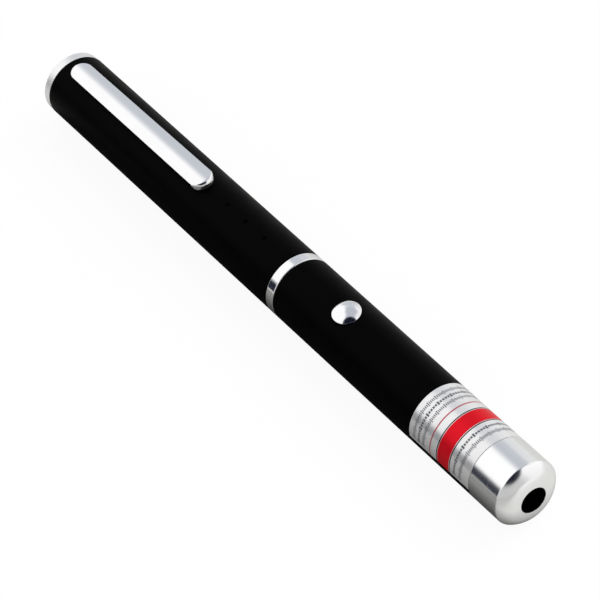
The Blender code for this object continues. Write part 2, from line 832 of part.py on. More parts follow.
def make_button(parent):
    rim = body_radius + BUTTON_PROUD - BUTTON_DOME
    rise = rim - flange_bottom
    outline = [
        (0, 0),
        (0, flange_radius),
        (BUTTON_FLANGE_THICKNESS, flange_radius),
        (BUTTON_FLANGE_THICKNESS, BUTTON_RADIUS),
        (rise, BUTTON_RADIUS),
    ]
    for step in range(1, ROUNDING_STEPS):
        angle = TURN / 4 * step / ROUNDING_STEPS
        outline.append((rise + BUTTON_DOME * math.sin(angle), BUTTON_RADIUS * math.cos(angle)))
    outline.append((rise + BUTTON_DOME, 0))
    upright(
        "push_button", outline, chrome(), button_place, parent, flange_bottom, INNER_SIDES
    )


def make_switch(parent, moving):
    size = (SWITCH_SIDE, SWITCH_SIDE, SWITCH_HEIGHT)
    middle = (switch_bottom + switch_top) / 2
    body = finished(
        block(size, SWITCH_EDGE),
        "switch_body",
        black_plastic(),
        button_place,
        middle,
        parent,
        flat=True,
    )
    floor = switch_bottom + SWITCH_FLOOR
    cavity = PLUNGER_RADIUS + FIT
    drill(body, "cut_switch_well", button_place, cavity, floor, switch_top + OVERRUN, parent)
    dome_seat = floor + TOUCH
    plunger_bottom = dome_seat + dome_height + TOUCH
    plunger_top = flange_bottom - TOUCH
    plunger = [
        (0, 0),
        (0, PLUNGER_RADIUS),
        (plunger_top - plunger_bottom, PLUNGER_RADIUS),
        (plunger_top - plunger_bottom, 0),
    ]
    upright("switch_plunger", plunger, white_plastic(), button_place, moving, plunger_bottom)
    dome = [(0, PLUNGER_RADIUS - DOME_SHEET)]
    dome += dome_curve(PLUNGER_RADIUS, dome_height, 0)
    hollow = dome_curve(PLUNGER_RADIUS - DOME_SHEET, dome_height - DOME_SHEET, 1)
    outline = list(reversed(hollow)) + dome
    upright(
        "switch_dome", outline, spring_steel(), button_place, parent, dome_seat, TINY_SIDES
    )


def dome_curve(radius, rise, first):
    """Points of a quarter ellipse from the rim up to the top of a dome."""
    points = []
    for step in range(first, DOME_STEPS):
        angle = TURN / 4 * step / DOME_STEPS
        points.append((rise * math.sin(angle), radius * math.cos(angle)))
    return points + [(rise, 0)]


def make_contact(parent):
    carrier = [
        (0, CONTACT_SHANK_RADIUS + TOUCH),
        (0, inner_radius),
        (CARRIER_THICKNESS, inner_radius),
        (CARRIER_THICKNESS, CONTACT_SHANK_RADIUS + TOUCH),
    ]
    turned("contact_carrier", carrier, white_plastic(), carrier_start, parent, INNER_SIDES)
    reach = carrier_start + CARRIER_THICKNESS - contact_start
    contact = [
        (0, 0),
        (0, CONTACT_FLANGE_RADIUS),
        (CONTACT_FLANGE_THICKNESS, CONTACT_FLANGE_RADIUS),
        (CONTACT_FLANGE_THICKNESS, CONTACT_SHANK_RADIUS),
        (reach, CONTACT_SHANK_RADIUS),
        (reach, 0),
    ]
    turned("battery_contact", contact, brass(), contact_start, parent)


def make_board(parent):
    size = (board_length, board_width, BOARD_THICKNESS)
    place = board_start + board_length / 2
    middle = (board_top + board_bottom) / 2
    bm = block(size, COMPONENT_EDGE)
    finished(bm, "driver_board", board_resin(), place, middle, parent, flat=True)


def make_cradle(parent):
    """A trough under the board: an extruded arc whose two ledges carry the board's edges."""
    bm = bmesh.new()
    outline = []
    steps = SMALL_SIDES // 2
    for radius, order in ((inner_radius, range(steps + 1)), (cradle_bore, range(steps, -1, -1))):
        edge = math.asin(cradle_top / radius)
        for step in order:
            angle = edge + (-TURN / 2 - 2 * edge) * step / steps
            outline.append(bm.verts.new((0, radius * math.cos(angle), radius * math.sin(angle))))
    face = bm.faces.new(outline)
    swept = bmesh.ops.extrude_face_region(bm, geom=[face])["geom"]
    moved = [item for item in swept if isinstance(item, bmesh.types.BMVert)]
    bmesh.ops.translate(bm, verts=moved, vec=(board_length, 0, 0))
    finished(bm, "board_cradle", black_plastic(), board_start, 0, parent)


def make_components(parent):
    """The chip, trimmer and resistor in a row on the board, and the capacitor under it."""
    place = button_place + SWITCH_SIDE / 2 + CHIP_FROM_SWITCH
    row = (
        ("driver_chip", CHIP_SIZE, black_plastic(), TRIMMER_FROM_CHIP),
        ("current_trimmer", TRIMMER_SIZE, white_plastic(), RESISTOR_FROM_TRIMMER),
        ("sense_resistor", RESISTOR_SIZE, black_plastic(), 0),
    )
    made = {}
    for name, size, finish, gap in row:
        middle = board_top + TOUCH + size[2] / 2
        bm = block(size, COMPONENT_EDGE)
        made[name] = finished(
            bm, name, finish, place + size[0] / 2, middle, parent, flat=True
        )
        place += size[0] + gap
    trimmer = made["current_trimmer"]
    trimmer_place = trimmer.location.x + parent["place"]
    dial_top = board_top + TOUCH + TRIMMER_SIZE[2]
    dial_floor = dial_top - TRIMMER_SLOT_DEPTH
    slot = (2 * TRIMMER_DIAL_RADIUS, TRIMMER_SLOT_WIDTH, 2 * TRIMMER_SLOT_DEPTH)
    tool = finished(
        block(slot, TRIMMER_SLOT_EDGE),
        "cut_trimmer_slot",
        white_plastic(),
        trimmer_place,
        dial_floor + TRIMMER_SLOT_DEPTH,
        parent,
        flat=True,
    )
    cut(trimmer, tool)
    capacitor = [
        (0, 0),
        (0, capacitor_radius - CAPACITOR_EDGE),
        (CAPACITOR_EDGE, capacitor_radius),
        (CAPACITOR_LENGTH, capacitor_radius),
        (CAPACITOR_LENGTH, 0),
    ]
    capacitor_start = board_start + board_length / 2 - CAPACITOR_LENGTH / 2
    height = cradle_top - capacitor_radius
    turned(
        "filter_capacitor", capacitor, black_plastic(), capacitor_start, parent, height=height
    )


def make_diode(parent):
    pocket = DIODE_FLANGE_RADIUS + FIT
    shoulder = DIODE_DEPTH + DIODE_FLANGE_THICKNESS + TOUCH
    holder = [
        (0, pocket),
        (0, inner_radius),
        (HOLDER_LENGTH, inner_radius),
        (HOLDER_LENGTH, HOLDER_THROAT_RADIUS),
        (shoulder, HOLDER_THROAT_RADIUS),
        (shoulder, pocket),
    ]
    turned("diode_holder", holder, brass(), holder_start, parent, INNER_SIDES)
    ring = [
        (0, DIODE_FLANGE_RADIUS - DIODE_RING_WALL),
        (0, DIODE_FLANGE_RADIUS),
        (DIODE_RING_LENGTH, DIODE_FLANGE_RADIUS),
        (DIODE_RING_LENGTH, DIODE_FLANGE_RADIUS - DIODE_RING_WALL),
    ]
    ring_place = holder_start + DIODE_DEPTH - TOUCH - DIODE_RING_LENGTH
    turned("diode_ring", ring, brass(), ring_place, parent)
    can = [
        (0, 0),
        (0, DIODE_FLANGE_RADIUS),
        (DIODE_FLANGE_THICKNESS, DIODE_FLANGE_RADIUS),
        (DIODE_FLANGE_THICKNESS, DIODE_CAP_RADIUS),
        (DIODE_FLANGE_THICKNESS + DIODE_CAP_LENGTH, DIODE_CAP_RADIUS),
        (DIODE_FLANGE_THICKNESS + DIODE_CAP_LENGTH, 0),
    ]
    diode_place = holder_start + DIODE_DEPTH
    diode = turned("laser_diode", can, brass(), diode_place, parent)
    long_lead = diode_place - board_end + DIODE_LEAD_LAP
    leads = (
        (DIODE_LEAD_CIRCLE, 0, long_lead),
        (-DIODE_LEAD_CIRCLE, 0, long_lead),
        (0, -DIODE_LEAD_CIRCLE, DIODE_SHORT_LEAD),
    )
    for number, (across, up, length) in enumerate(leads, 1):
        root = DIODE_FLANGE_THICKNESS / 2
        lead = [
            (-length, 0),
            (-length, DIODE_LEAD_RADIUS),
            (root, DIODE_LEAD_RADIUS),
            (root, 0),
        ]
        bm = spun(lead, TINY_SIDES)
        bm.transform(Matrix.Translation((0, across, up)))
        tool = finished(bm, f"join_lead_{number}", brass(), diode_place, 0, parent)
        cut(diode, tool, "UNION")


def make_crystal(parent):
    bore = CRYSTAL_SIDE / math.sqrt(2) + FIT
    holder = [
        (0, bore),
        (0, crystal_holder_radius),
        (CRYSTAL_HOLDER_LENGTH, crystal_holder_radius),
        (CRYSTAL_HOLDER_LENGTH, bore),
    ]
    place = housing_start + TOUCH
    turned("crystal_holder", holder, brass(), place, parent)
    size = (CRYSTAL_LENGTH, CRYSTAL_SIDE, CRYSTAL_SIDE)
    middle = place + CRYSTAL_HOLDER_LENGTH / 2
    bm = block(size, CRYSTAL_EDGE)
    finished(bm, "laser_crystal", optical_glass(), middle, 0, parent, flat=True)


def make_housing(parent):
    pocket_depth = TOUCH + CRYSTAL_HOLDER_LENGTH + TOUCH
    web_end = pocket_depth + HOUSING_WEB
    seat_end = web_end + EXPANDER_SEAT_DEPTH
    cone_end = seat_end + HOUSING_CONE_LENGTH
    pocket = crystal_holder_radius + FIT
    seat = EXPANDER_RADIUS + FIT
    bore = lens_cell_radius + FIT
    neck = HOUSING_LENGTH - HOUSING_NECK_LENGTH
    outline = [
        (0, pocket),
        (0, inner_radius),
        (neck, inner_radius),
        (neck, housing_neck_radius),
        (HOUSING_LENGTH, housing_neck_radius),
        (HOUSING_LENGTH, bore),
        (cone_end, bore),
        (seat_end, seat),
        (web_end, seat),
        (web_end, HOUSING_THROAT_RADIUS),
        (pocket_depth, HOUSING_THROAT_RADIUS),
        (pocket_depth, pocket),
    ]
    turned("module_housing", outline, brass(), housing_start, parent, INNER_SIDES)
    make_expander(parent, housing_start + web_end + TOUCH)


def lens_curve(start, edge_radius, depth):
    """Points from a lens's axis out to its edge, bulging back by depth at the axis."""
    points = []
    for step in range(LENS_STEPS + 1):
        share = step / LENS_STEPS
        points.append((start - depth * (1 - share * share), edge_radius * share))
    return points


def lens_bulge_at(radius, edge_radius):
    """How far the front lens's face stands out at this radius."""
    return LENS_BULGE * (1 - (radius / edge_radius) ** 2)


def make_expander(parent, place):
    back = lens_curve(0, EXPANDER_RADIUS, -EXPANDER_HOLLOW)
    front = lens_curve(EXPANDER_EDGE, EXPANDER_RADIUS, EXPANDER_HOLLOW)
    outline = back + list(reversed(front))
    turned("expander_lens", outline, optical_glass(), place, parent)


def make_front_lens(parent):
    start = housing_end - LENS_CELL_SET_BACK - LENS_CELL_LENGTH
    bore = lens_cell_radius - LENS_CELL_WALL
    lens_radius = bore - TOUCH
    lip = bore - LENS_CELL_LIP
    ring_bore = lens_radius - LENS_RING_WALL
    behind = TOUCH + lens_bulge_at(lip, lens_radius)
    ahead = TOUCH + lens_bulge_at(ring_bore, lens_radius)
    ring_end = LENS_CELL_LENGTH - TOUCH
    ring_start_here = ring_end - LENS_RING_LENGTH
    lens_start = ring_start_here - ahead - LENS_EDGE
    lip_length = lens_start - behind
    cell = [
        (0, lip),
        (0, lens_cell_radius),
        (LENS_CELL_LENGTH, lens_cell_radius),
        (LENS_CELL_LENGTH, bore),
        (lip_length, bore),
        (lip_length, lip),
    ]
    turned("lens_cell", cell, brass(), start, parent)
    back = lens_curve(lens_start, lens_radius, LENS_BULGE)
    front = lens_curve(lens_start + LENS_EDGE, lens_radius, -LENS_BULGE)
    outline = back + list(reversed(front))
    turned("collimator_lens", outline, optical_glass(), start, parent)
    ring = [
        (ring_start_here, ring_bore),
        (ring_start_here, lens_radius),
        (ring_end, lens_radius),
        (ring_end, ring_bore),
    ]
    turned("lens_ring", ring, brass(), start, parent)


def clear_scene():
    for made in list(bpy.data.objects):
        bpy.data.objects.remove(made, do_unlink=True)


def main():
    clear_scene()
    front_half = empty("front_half", front_start, 0)
    cell_pair = empty("cell_pair", rear_cell_start, 0, front_half)
    spring_slide = empty("spring_slide", spring_start, 0, cell_pair)
    rear_half = empty("rear_half", rear_end, 0, spring_slide)
    clip_pivot = empty("clip_pivot", stud_place, clip_top - CLIP_THICKNESS, rear_half)
    button_slide = empty("button_slide", button_place, 0, front_half)
    make_rear_barrel(rear_half)
    make_tail_cap(rear_half)
    make_clip_stud(rear_half)
    make_pocket_clip(clip_pivot)
    make_tail_spring(spring_slide)
    make_cell("rear_cell", rear_cell_start, cell_pair)
    make_cell("front_cell", front_cell_start, cell_pair)
    make_coupling(front_half)
    make_mid_ring(front_half)
    make_front_barrel(front_half)
    make_foil_label(front_half)
    make_nose_cap(front_half)
    make_contact(front_half)
    make_board(front_half)
    make_cradle(front_half)
    make_button(button_slide)
    make_switch(front_half, button_slide)
    make_components(front_half)
    make_diode(front_half)
    make_crystal(front_half)
    make_housing(front_half)
    make_front_lens(front_half)


main()
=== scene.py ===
# %% [markdown]
# # A pen-shaped laser pointer, made piece by piece
#
# The pen lies with its nose towards +X and its button up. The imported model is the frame: it says
# where each piece sits and which half of the pen carries it. Here the pieces that show are made
# again with finer shapes, and every piece gets a finish built from nodes. Lengths are in metres,
# and each finished piece keeps its place in its own mesh, so that it can move with its joint.

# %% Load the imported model
import json
import math

import bmesh
import bpy
from mathutils import Matrix, Quaternion, Vector


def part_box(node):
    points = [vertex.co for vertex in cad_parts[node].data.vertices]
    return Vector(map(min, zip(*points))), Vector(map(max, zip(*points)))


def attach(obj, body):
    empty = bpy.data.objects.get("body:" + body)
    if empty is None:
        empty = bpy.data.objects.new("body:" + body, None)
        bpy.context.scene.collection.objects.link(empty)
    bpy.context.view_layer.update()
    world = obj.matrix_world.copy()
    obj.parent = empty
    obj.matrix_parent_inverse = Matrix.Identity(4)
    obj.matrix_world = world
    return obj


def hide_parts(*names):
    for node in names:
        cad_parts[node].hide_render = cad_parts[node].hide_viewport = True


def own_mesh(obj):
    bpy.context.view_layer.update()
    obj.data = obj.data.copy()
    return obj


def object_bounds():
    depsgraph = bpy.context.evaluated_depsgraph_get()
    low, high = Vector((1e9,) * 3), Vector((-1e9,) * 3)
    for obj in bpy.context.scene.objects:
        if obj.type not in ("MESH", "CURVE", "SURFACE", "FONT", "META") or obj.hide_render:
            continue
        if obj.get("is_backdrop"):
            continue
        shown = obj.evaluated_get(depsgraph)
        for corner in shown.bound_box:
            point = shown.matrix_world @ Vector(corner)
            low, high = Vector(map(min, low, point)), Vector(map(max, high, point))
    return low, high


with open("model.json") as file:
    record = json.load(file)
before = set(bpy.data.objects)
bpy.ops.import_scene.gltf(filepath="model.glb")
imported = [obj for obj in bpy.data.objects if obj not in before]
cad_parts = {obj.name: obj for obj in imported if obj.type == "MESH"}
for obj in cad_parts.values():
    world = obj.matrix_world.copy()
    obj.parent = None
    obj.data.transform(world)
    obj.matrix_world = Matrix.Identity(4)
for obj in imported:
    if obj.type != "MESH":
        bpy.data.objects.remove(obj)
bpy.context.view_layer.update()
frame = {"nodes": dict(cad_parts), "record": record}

# %% [markdown]
# ## Places along the pen
#
# A turned pen has one line through its middle, and every piece is round about it. So two facts
# place nearly everything: how high that line is, and where each piece starts and ends along it.
# Both could be typed in, but reading them from the frame means that they can't drift from it.

# %% Read the places from the frame
def ends(node):
    """Where a node starts and ends along the pen."""
    low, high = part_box(node)
    return low.x, high.x


barrel_low, barrel_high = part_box("rear_barrel")
PEN_RADIUS = (barrel_high.y - barrel_low.y) / 2
AXIS_HEIGHT = barrel_low.z + PEN_RADIUS
TAIL_FACE, TAIL_PLUG_END = ends("tail_cap")
REAR_START, REAR_END = ends("rear_barrel")
RING_START, RING_END = ends("mid_ring")
FRONT_START, FRONT_END = ends("front_barrel")
LABEL_START, LABEL_END = ends("foil_label")
NOSE_SPIGOT, NOSE_TIP = ends("nose_cap")
print(f"radius {PEN_RADIUS * 1000:.2f} mm, axis {AXIS_HEIGHT * 1000:.2f} mm up")
print(f"overall length {(NOSE_TIP - TAIL_FACE) * 1000:.1f} mm")

# %% [markdown]
# ## Node helpers
#
# Finishes and shapes are both built from nodes here, so one small helper that makes a node, sets
# it and links it keeps the rest of the lesson readable. The other helpers are the few patterns
# that come back in every finish: a piece's own coordinates, noise on them, and a bump. Plain
# materials need only one noise for everything, so the last helper makes such a finish whole.

# %% Make, set and link a node
def add(tree, kind, inputs=None, **settings):
    """A new node. Each input is given a number, a colour or the socket that feeds it."""
    node = tree.nodes.new(kind)
    for label, value in settings.items():
        setattr(node, label, value)
    for key, value in (inputs or {}).items():
        if isinstance(value, bpy.types.NodeSocket):
            tree.links.new(value, node.inputs[key])
        else:
            node.inputs[key].default_value = value
    return node


def result(tree, kind, inputs=None, **settings):
    """The first output of a new node."""
    return add(tree, kind, inputs, **settings).outputs[0]


def calc(tree, operation, *values):
    """The result of a Math node."""
    return result(tree, "ShaderNodeMath", dict(enumerate(values)), operation=operation)


def whole(tree, operation, *values):
    """The result of an Integer Math node, for counting rows and columns."""
    return result(tree, "FunctionNodeIntegerMath", dict(enumerate(values)), operation=operation)


def vector(tree, x, y=0.0, z=0.0):
    """Three numbers or sockets as one vector."""
    return result(tree, "ShaderNodeCombineXYZ", {0: x, 1: y, 2: z})


def spread(tree, value, low, high, low_out, high_out):
    """Runs from low_out to high_out as the value goes from low to high."""
    ranges = {"Value": value, "From Min": low, "From Max": high, "To Min": low_out}
    ranges["To Max"] = high_out
    return result(tree, "ShaderNodeMapRange", ranges)


# %% Patterns on a piece's own coordinates
def own_place(tree, stretch=(1, 1, 1)):
    """A point's place on the piece, with each direction scaled."""
    place = add(tree, "ShaderNodeTexCoord").outputs["Object"]
    return result(tree, "ShaderNodeMapping", {"Vector": place, "Scale": stretch})


def noise(tree, scale, stretch=(1, 1, 1), detail=3.0):
    inputs = {"Vector": own_place(tree, stretch), "Scale": scale, "Detail": detail}
    return result(tree, "ShaderNodeTexNoise", inputs)


def blended(tree, share, one, other):
    """Two shaders mixed by a share."""
    return result(tree, "ShaderNodeMixShader", {0: share, 1: one, 2: other})


def mixed(tree, share, one, other):
    """Two colours mixed by a share."""
    inputs = {0: share, 6: one, 7: other}
    return add(tree, "ShaderNodeMix", inputs, data_type="RGBA").outputs[2]


def grey(value):
    return (value, value, value, 1)


# %% Begin and wire a finish
def finish(name, colour, metallic, roughness):
    """A named finish with its Principled shader ready to be wired."""
    made = bpy.data.materials.new(name)
    made.use_nodes = True
    shader = made.node_tree.nodes["Principled BSDF"]
    shader.inputs["Base Color"].default_value = colour
    shader.inputs["Metallic"].default_value = metallic
    shader.inputs["Roughness"].default_value = roughness
    made.diffuse_color = colour
    print(f"finish {name}: metallic {metallic}, roughness {roughness}")
    return made, made.node_tree, shader


def wire(tree, shader, **inputs):
    """Links sockets to the shader's inputs."""
    for label, socket in inputs.items():
        tree.links.new(socket, shader.inputs[label.replace("_", " ")])


def bump(tree, shader, height, distance):
    """Presses a height pattern into the surface."""
    pressed = result(tree, "ShaderNodeBump", {"Height": height, "Distance": distance})
    tree.links.new(pressed, shader.inputs["Normal"])


NOISE_LOW = 0.3
NOISE_HIGH = 0.7


def uneven(tree, pattern, low, high):
    """Drifts from low to high with a noise, most of which lies between the two limits above."""
    return spread(tree, pattern, NOISE_LOW, NOISE_HIGH, low, high)


def grained(name, colour, metallic, roughness, scale, colours, rough_range, depth, detail=3.0):
    """A finish with one noise in its colour, its roughness and its bump."""
    made, tree, shader = finish(name, colour, metallic, roughness)
    grain = noise(tree, scale, detail=detail)
    rough = uneven(tree, grain, *rough_range)
    wire(tree, shader, Base_Color=mixed(tree, grain, *colours), Roughness=rough)
    bump(tree, shader, grain, depth)
    return made


# %% [markdown]
# ## Black lacquer
#
# The two barrels are brass tubes under a soft black coat. It is so dark that what shows is only
# its gloss: nothing on top, and a grey sheen where the surface turns away. A low specular level
# gives that, because it dims the gloss seen straight on and leaves the glancing one. Grain a
# tenth of a millimetre across breaks the sheen up, and handling has left it uneven.

# %% The barrels' lacquer
LACQUER, tree, shader = finish("black_coat", grey(0.0006), 0, 0.42)
shader.inputs["Specular IOR Level"].default_value = 0.022
patches = noise(tree, 260, detail=4)
wire(
    tree,
    shader,
    Base_Color=mixed(tree, patches, grey(0.0003), grey(0.0008)),
    Roughness=uneven(tree, patches, 0.36, 0.48),
)
bump(tree, shader, noise(tree, 9000, detail=2), 0.000004)

# %% [markdown]
# ## Chrome
#
# Clip, ring and button are plated bright. Polished plating is never a perfect mirror:
# it has hairline scratches, mostly along the pen because that is how it slides in a pocket, and
# faint cloudy patches. Noise stretched along X is both, at two scales.

# %% The bright plating
SCRATCHED_ALONG = (0.04, 1, 1)
CHROME, tree, shader = finish("bright_chrome", (0.93, 0.93, 0.94, 1), 1, 0.1)
scratches = noise(tree, 5200, SCRATCHED_ALONG, detail=2)
clouds = noise(tree, 420)
wire(
    tree,
    shader,
    Base_Color=mixed(tree, clouds, (0.91, 0.91, 0.92, 1), (0.95, 0.95, 0.96, 1)),
    Roughness=spread(tree, scratches, 0.35, 0.75, 0.07, 0.15),
)
bump(tree, shader, scratches, 0.0000007)

# %% [markdown]
# ## Satin chrome
#
# The nose was turned on a lathe and plated without much polishing, so fine rings run round it.
# Noise that changes quickly along the pen and slowly round it draws such rings. On the front
# face, where the tool moved inwards, they become circles by themselves: the noise is read from
# the distance to the pen's line as well as from the place along it.

# %% The nose's turned plating
RING_DRIFT = 0.00004


def around(tree):
    """Distance from the pen's line, and the angle round it from straight up towards +Y."""
    parts = add(tree, "ShaderNodeSeparateXYZ", {0: own_place(tree)}).outputs
    up = calc(tree, "SUBTRACT", parts[2], AXIS_HEIGHT)
    square = calc(tree, "ADD", calc(tree, "POWER", parts[1], 2), calc(tree, "POWER", up, 2))
    return parts[0], calc(tree, "SQRT", square), calc(tree, "ARCTAN2", parts[1], up)


def turning_lines(tree, scale):
    """Noise in rings about the pen's line."""
    along, radius, angle = around(tree)
    place = vector(tree, along, radius, calc(tree, "MULTIPLY", angle, RING_DRIFT))
    inputs = {"Vector": place, "Scale": scale, "Detail": 3.0}
    return result(tree, "ShaderNodeTexNoise", inputs)


SATIN, tree, shader = finish("satin_chrome_plate", (0.95, 0.95, 0.955, 1), 1, 0.2)
rings = turning_lines(tree, 7000)
clouds = noise(tree, 500)
wire(
    tree,
    shader,
    Base_Color=mixed(tree, clouds, (0.94, 0.94, 0.945, 1), (0.97, 0.97, 0.975, 1)),
    Roughness=uneven(tree, rings, 0.14, 0.21),
)
bump(tree, shader, rings, 0.0000009)

# %% [markdown]
# ## Blasted chrome
#
# The plug in the tail end looks misty beside the other plating: it was blasted with beads first.
# The tiny pits scatter a reflection, so a high roughness gives the right haze and washes out the
# dark band that polished chrome shows at the same place.

# %% The tail plug's blasted plating
PITTED = (grey(0.94), grey(0.98))
BLASTED = grained(
    "bead_blasted_chrome", grey(0.95), 1, 0.42, 6500, PITTED, (0.38, 0.46), 0.000001
)

# %% [markdown]
# ## Printed film
#
# A metallised film is wrapped round the front of the pen. Its print is plain here: a red band
# between two dark hairlines, a pale red line, and rows of small marks that are made further on
# as pieces of their own. Bands that go straight round need only the place along the pen, so
# each is a Compare node on that place. The film is half mirror and half white, and ink over it
# takes away some of the mirror. A low specular level keeps the red deep.

# %% The film and its bands
# Middle and half width of each band, in mm from the film's rear edge
PALE_LINE = (6.35, 0.16)
RED_BAND = (10.3, 1.72)
DARK_LINES = ((8.35, 0.13), (12.25, 0.13))
PALE_INK = (0.62, 0.16, 0.19, 1)
RED_INK = (0.92, 0.006, 0.02, 1)
DARK_INK = (0.02, 0.022, 0.028, 1)
CRINKLED_ALONG = (0.25, 1, 1)

FILM, tree, shader = finish("printed_film", grey(0.98), 0.5, 0.22)
shader.inputs["Specular IOR Level"].default_value = 0.12
along, radius, angle = around(tree)
place_mm = calc(tree, "MULTIPLY", calc(tree, "SUBTRACT", along, LABEL_START), 1000)


def bands(tree, place, *lines):
    """1 inside any of the lines, each given by its middle and half width, and 0 outside."""
    inside = 0.0
    for line in lines:
        inside = calc(tree, "MAXIMUM", inside, calc(tree, "COMPARE", place, *line))
    return inside


crinkles = noise(tree, 1300, CRINKLED_ALONG, detail=4)
silver = mixed(tree, crinkles, (0.965, 0.97, 0.98, 1), (0.99, 0.99, 0.985, 1))
pale_line = bands(tree, place_mm, PALE_LINE)
dark_lines = bands(tree, place_mm, *DARK_LINES)
red_band = bands(tree, place_mm, RED_BAND)
printed = mixed(tree, pale_line, silver, PALE_INK)
printed = mixed(tree, red_band, printed, RED_INK)
printed = mixed(tree, dark_lines, printed, DARK_INK)
ink = calc(tree, "MAXIMUM", calc(tree, "MAXIMUM", red_band, dark_lines), pale_line)
wire(
    tree,
    shader,
    Base_Color=printed,
    Metallic=spread(tree, ink, 0, 1, 0.5, 0.35),
    Roughness=spread(tree, ink, 0, 1, 0.2, 0.34),
)
bump(tree, shader, crinkles, 0.000003)

INK, tree, shader = finish("grey_ink", (0.13, 0.135, 0.16, 1), 0, 0.4)
dots = noise(tree, 9000)
wire(tree, shader, Base_Color=mixed(tree, dots, (0.09, 0.095, 0.12, 1), (0.19, 0.195, 0.22, 1)))

# %% [markdown]
# ## Metals inside
#
# Brass parts keep the marks of the lathe. Springs, the snap dome and the clip's rivet are nickel
# plated steel wire and sheet, drawn or stamped, so their marks run every way.

# %% Turned brass, spring steel and the painted shade inside the hole
BRASS, tree, shader = finish("lathe_turned_brass", (0.72, 0.52, 0.22, 1), 1, 0.28)
rings = turning_lines(tree, 5200)
tarnish = noise(tree, 700, detail=5)
wire(
    tree,
    shader,
    Base_Color=mixed(tree, tarnish, (0.60, 0.40, 0.15, 1), (0.80, 0.60, 0.28, 1)),
    Roughness=uneven(tree, rings, 0.22, 0.38),
)
bump(tree, shader, rings, 0.0000015)

DRAWN = (grey(0.52), grey(0.70))
STEEL = grained(
    "plated_spring_steel", grey(0.62), 1, 0.28, 3800, DRAWN, (0.22, 0.36), 0.000001, detail=4
)

# Painted shade: a dull black, darker and less glossy than any blackened metal, worn inside the nose
# and by the lens mounts so that the beam's hole reads dark
PAINTED_HOLE_SHADE, tree, shader = finish("painted_shade_bore", grey(0.001), 0, 0.7)
shader.inputs["Specular IOR Level"].default_value = 0.02
grooves = turning_lines(tree, 4200)
wire(tree, shader, Base_Color=mixed(tree, grooves, grey(0.0006), grey(0.0016)))
bump(tree, shader, grooves, 0.000004)

# %% [markdown]
# ## Cell jackets
#
# A cell is a steel can in a shrunk, printed film. Both cells share one finish: their places repeat
# every 44.6 mm, so the place along the pen is folded into one cell's length before the bands are
# drawn. Steel shows wherever the point is nearer to the middle than the film's rolled edge.

# %% The cells' film and steel
CELL_START = ends("rear_cell")[0]
CELL_PITCH = ends("front_cell")[0] - CELL_START
FILM_EDGE_RADIUS = 0.0044
FACE_SLACK = 0.00002

# Shares of a cell's length: where its copper end starts, and its pale lines
COPPER_START = 0.72
CELL_LINES = ((0.715, 0.006), (0.06, 0.003))

JACKET, tree, shader = finish("cell_film", (0.04, 0.13, 0.10, 1), 0.5, 0.3)
along, radius, angle = around(tree)
from_start = calc(tree, "ADD", calc(tree, "SUBTRACT", along, CELL_START), FACE_SLACK)
folded = calc(tree, "FRACT", calc(tree, "DIVIDE", from_start, CELL_PITCH))
copper_end = calc(tree, "GREATER_THAN", folded, COPPER_START)
pale_lines = bands(tree, folded, *CELL_LINES)
metal_end = calc(tree, "LESS_THAN", radius, FILM_EDGE_RADIUS)
fibres = noise(tree, 900)
green = mixed(tree, fibres, (0.012, 0.06, 0.045, 1), (0.02, 0.09, 0.065, 1))
printed = mixed(tree, copper_end, green, (0.55, 0.30, 0.13, 1))
printed = mixed(tree, pale_lines, printed, (0.70, 0.70, 0.68, 1))
printed = mixed(tree, metal_end, printed, (0.66, 0.66, 0.65, 1))
wire(
    tree,
    shader,
    Base_Color=printed,
    Metallic=calc(tree, "MAXIMUM", spread(tree, copper_end, 0, 1, 0.2, 0.9), metal_end),
    Roughness=uneven(tree, fibres, 0.26, 0.34),
)
bump(tree, shader, fibres, 0.000002)

# %% [markdown]
# ## Plastics, board and glass
#
# Moulded plastic copies the fine spark texture of its mould. The board is green resin over glass
# cloth, with pale tracks under the resin that follow right angles; a brick pattern on its own
# coordinates draws them. Lens glass is clear with a faint coating colour.

# %% Moulded plastics
BLACKS = (grey(0.011), grey(0.020))
BLACK_PLASTIC = grained(
    "moulded_black_plastic", grey(0.015), 0, 0.5, 6000, BLACKS, (0.42, 0.6), 0.000006
)
IVORY = (0.75, 0.74, 0.70, 1)
IVORIES = ((0.71, 0.70, 0.66, 1), (0.78, 0.77, 0.73, 1))
WHITE_PLASTIC = grained(
    "moulded_white_plastic", IVORY, 0, 0.45, 5000, IVORIES, (0.4, 0.52), 0.000004
)

# %% The circuit board and the glass
BOARD, tree, shader = finish("green_board_resin", (0.02, 0.16, 0.06, 1), 0, 0.35)
bricks = {"Vector": own_place(tree), "Scale": 900.0, "Color1": grey(0), "Color2": grey(0)}
bricks["Mortar"] = grey(1)
tracks = add(tree, "ShaderNodeTexBrick", bricks).outputs["Color"]
cloth = noise(tree, 7000, detail=1)
wire(
    tree,
    shader,
    Base_Color=mixed(tree, tracks, (0.012, 0.11, 0.04, 1), (0.03, 0.22, 0.08, 1)),
    Roughness=uneven(tree, cloth, 0.3, 0.42),
)
bump(tree, shader, tracks, 0.00002)

GLASS, tree, shader = finish("coated_lens_glass", (0.86, 0.92, 0.95, 1), 0, 0.02)
shader.inputs["Transmission Weight"].default_value = 1.0
shader.inputs["IOR"].default_value = 1.52
shader.inputs["Specular IOR Level"].default_value = 0.08
haze = noise(tree, 1500)
wire(
    tree,
    shader,
    Base_Color=mixed(tree, haze, (0.84, 0.90, 0.95, 1), (0.90, 0.95, 0.96, 1)),
    Roughness=uneven(tree, haze, 0.01, 0.03),
)

# %% [markdown]
# ## A lathe in Geometry Nodes
#
# Almost every part of this pen came off a lathe: a profile turned about one line. Spin in a
# bmesh would do it once; a node tree does it for every part, with the number of sides as a named
# input. The tree samples the profile point by point onto a grid, one row of points for each
# profile point and one column for each side, and bends the grid round. The last column lands on
# the first and the ends on the line shrink to one point, so merging by distance closes them.

